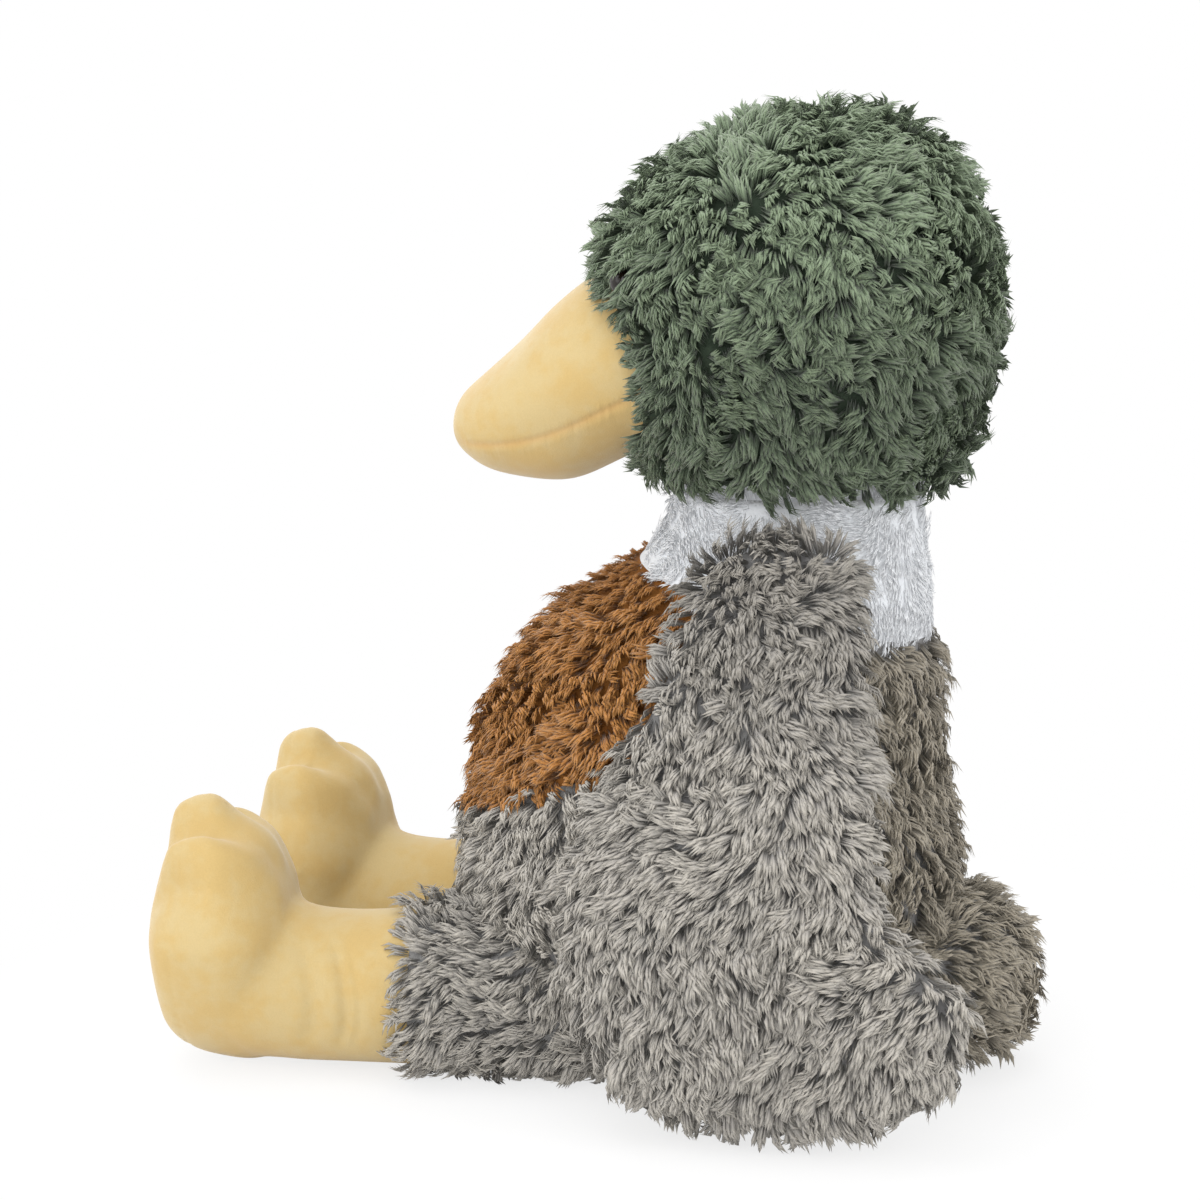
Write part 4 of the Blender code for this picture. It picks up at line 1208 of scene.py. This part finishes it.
def make_foot(side, name):
    frame_of = leg_frame(side)
    pad = loft("foot", foot_rows(0.0010), 108, frame_of, webbed)
    shank = loft("shank", leg_rows(CUFF_DISTANCE - 0.003, LEG_LENGTH - 0.012, 0.0015, 20), 64, frame_of)
    foot = combined(pad, "UNION", shank)

    def held(points):
        cuff = local_points(points, frame_of)[:, 2] < CUFF_DISTANCE + 0.004
        return np.maximum(points[:, 2] < 0.003, cuff)

    stuffed(foot, 0.0025, 0.003, held, soften=12)
    toed(foot, side)
    seam = frame_of @ Matrix.Translation((0, 0, SOLE_PLANE))
    pinched(foot, seam_gap(seam), 0.0003, 0.0014)
    return panels(foot, f"sole_skin_{name}", seam, f"foot_skin_{name}")


def make_eye(side, name):
    rows = [ring(-0.0020, 0.0050), ring(-EYE_RIM, EYE_RADIUS), ring(EYE_RIM, EYE_RADIUS + 0.0001)]
    for step in range(1, 12):
        turn = math.pi / 2 * step / 12
        rows.append(ring(EYE_RIM + EYE_DOME * math.sin(turn), EYE_RADIUS * math.cos(turn)))
    eye = loft(f"eye_dome_{name}", rows, 48, eye_frame(side))
    eye.data.materials.append(EYE_GLOSS)
    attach(eye, "head")
    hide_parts(f"eye_{name}")


# ---- assembly
PILE_TREE = make_pile_tree()
SHAGGY_LOCKS = make_locks("shaggy_locks", 0.12, 0.20, 0.30, 0.48)
DOWNY_LOCKS = make_locks("downy_locks", 0.30, 0.50, 0.03, 0.12, 12, 0.038)

body, breast, band = make_body_skins()
# Painted light: the belly's pile is made lighter to lift the shade under the breast.
combed(body, flow(0, 0, -1), 0.7, 0.030, 0.0150, belly_cover, 3, dim=-0.30)
grown("belly_pile", body, 0.0032, GREY_PILE, SHAGGY_LOCKS, "body", 31)
covered(body, lambda p, n: seat_cover(p, n) - belly_cover(p, n))
# The back's pile takes no painted light or shade.
covered(body, lambda p, n: np.zeros(len(p)), "dim")
grown("back_pile", body, 0.0036, DARK_GREY_PILE, SHAGGY_LOCKS, "body", 31, parts=2)
combed(breast, breast_flow, 0.85, 0.026, breast_length, 1.0, 4)
grown("breast_pile", breast, 0.0030, BROWN_PILE, SHAGGY_LOCKS, "body", 32)
combed(band, flow(0, 0, -0.7), 0.8, 0.024, 0.0088, band_cover, 5, band_raise)
grown("band_pile", band, 0.0029, WHITE_PILE, DOWNY_LOCKS, "body", 33, 0.4)
finished(body, GREY_BACKING, "body", "grey_plush", 0.7, "body_cover", "body_filling", "pellet_bag")
finished(breast, BROWN_BACKING, "body", "brown_plush", 0.7, "breast_panel")
finished(band, WHITE_BACKING, "body", "white_plush", 0.7, "neck_band")
finished(neck_skin(), WHITE_BACKING, "neck", "filling", 0.6, "neck_filling")

tail = tail_skin()
combed(tail, flow(0, 0.8, -0.5), 0.6, 0.03, 0.0150, lambda p, n: (p[:, 1] > 0.09) * seat_cover(p, n), 6)
grown("tail_pile", tail, 0.0034, DARK_GREY_PILE, SHAGGY_LOCKS, "body", 34)
finished(tail, GREY_BACKING, "body", "grey_plush", 0.6, "tail_cover", "tail_filling")

head = head_skin()
combed(head, head_flow, 1.3, 0.024, head_pile, head_cover, 7, head_raise, head_painted_light)
grown("head_pile", head, 0.0028, GREEN_PILE, SHAGGY_LOCKS, "head", 35, 1.3, 3)
finished(head, GREEN_BACKING, "head", "green_plush", 0.8, "head_cover", "head_filling")

EYE_GLOSS, WASHER = eye_finish(), washer_finish()
for side, name in SIDES:
    make_eye(side, name)
    frame["nodes"][f"eye_washer_{name}"].material_slots[0].material = WASHER
    rider = f"wing_{name}"
    wing = wing_skin(side, name)
    combed(wing, wing_flow, 0.7, 0.024, wing_pile(side), wing_cover(side), 8, wing_raise, wing_painted_shadow)
    grown(f"wing_pile_{name}", wing, 0.0028, GREY_PILE, SHAGGY_LOCKS, rider, 36, parts=2)
    covered(wing, wing_cover(side, upper=True))
    grown(f"shoulder_pile_{name}", wing, 0.0022, GREY_PILE, SHAGGY_LOCKS, rider, 38, 1.4)
    finished(wing, GREY_BACKING, rider, "grey_plush", 0.6, f"wing_cover_{name}", f"wing_filling_{name}")
    rider = f"leg_{name}"
    thigh = thigh_skin(side, name)
    combed(thigh, flow(0, -0.9, -0.45), 0.7, 0.03, 0.0140, 1.0, 9)
    grown(f"thigh_pile_{name}", thigh, 0.0031, GREY_PILE, SHAGGY_LOCKS, rider, 37)
    finished(thigh, GREY_BACKING, rider, "grey_plush", 0.8, f"thigh_{name}")
    sole, foot = make_foot(side, name)
    finished(foot, VELOUR, rider, "cream_velour", 0.8, f"foot_{name}", f"leg_filling_{name}")
    finished(sole, VELOUR, rider, "cream_velour", 0.8, f"sole_{name}")

upper, lower = make_bill()
finished(upper, VELOUR, "head", "cream_velour", 0.8, "bill_upper", "bill_filling")
finished(lower, VELOUR, "head", "cream_velour", 0.8, "bill_lower")

for group in (SHAGGY_LOCKS, DOWNY_LOCKS):
    for lock in list(group.objects):
        bpy.data.objects.remove(lock)
    bpy.data.collections.remove(group)


# ---- studio
def aimed(made, place, aim):
    made.location = place
    made.rotation_euler = (Vector(place) - Vector(aim)).to_track_quat("Z", "Y").to_euler()
    return made


def lamp(name, place, aim, size, power):
    light = bpy.data.lights.new(name, "AREA")
    light.shape, light.size, light.energy = "DISK", size, power
    aimed(placed(name, light), place, aim)


def shown_as(tree, plain, seen, out):
    """What the camera, a gloss or a glass looks at is seen, and every other ray meets the plain shader."""
    paths = new_node(tree, "ShaderNodeLightPath")
    share = paths["Is Camera Ray"]
    for ray in ("Is Glossy Ray", "Is Transmission Ray"):
        share = new_node(tree, "ShaderNodeMath", {"operation": "MAXIMUM"}, {0: share, 1: paths[ray]})[0]
    mix = new_node(tree, "ShaderNodeMixShader", None, {0: share, 1: plain, 2: seen})[0]
    tree.links.new(mix, out)


scene = bpy.context.scene
scene.view_settings.view_transform = "Standard"
world = bpy.data.worlds.new("studio")
world.use_nodes = True
scene.world = world
tree = world.node_tree
soft = tree.nodes["Background"]
soft.inputs["Color"].default_value = WHITE
soft.inputs["Strength"].default_value = 1.1
white = new_node(tree, "ShaderNodeBackground", None, {"Color": WHITE})[0]
shown_as(tree, soft.outputs[0], white, tree.nodes["World Output"].inputs[0])

bm = bmesh.new()
bmesh.ops.create_grid(bm, x_segments=2, y_segments=2, size=4.0)
floor = mesh_object("floor", bm)
paper = Finish("floor_paper", Base_Color=(0.86, 0.86, 0.86, 1.0), Roughness=0.9)
tree, matte = paper.tree, paper.shader.outputs[0]
glow = new_node(tree, "ShaderNodeEmission", None, {"Strength": 1.0})[0]
place = new_node(tree, "ShaderNodeTexCoord")["Object"]
reach = new_node(tree, "ShaderNodeVectorMath", {"operation": "LENGTH"}, {0: place})["Value"]
fade = new_node(tree, "ShaderNodeMapRange", None, {0: reach, 1: 0.14, 2: 0.36, 3: 0.75, 4: 1.0})[0]
part = new_node(tree, "ShaderNodeMixShader", None, {0: fade, 1: matte, 2: glow})[0]
shown_as(tree, matte, part, tree.nodes["Material Output"].inputs[0])
floor.data.materials.append(paper.material)

lamp("overhead", (0.5, -0.4, 2.4), (0.0, -0.03, 0.18), 1.6, 15.0)
lamp("beside_camera", (1.35, 0.0, 0.75), (0.0, -0.05, 0.15), 0.9, 4.8)
lamp("front", (1.25, -1.6, 0.8), (0.0, -0.1, 0.12), 1.4, 7.0)
lamp("far_side", (-1.4, -0.8, 1.1), (0.0, 0.0, 0.2), 1.4, 9.0)
lamp("behind", (0.7, 1.7, 0.9), (0.0, 0.0, 0.2), 1.4, 5.2)

camera = bpy.data.cameras.new("camera")
camera.lens, camera.sensor_width = 87.6, 36.0
scene.camera = aimed(placed("camera", camera), (1.242, 0.260, 0.426), (0.0, -0.05, 0.2))
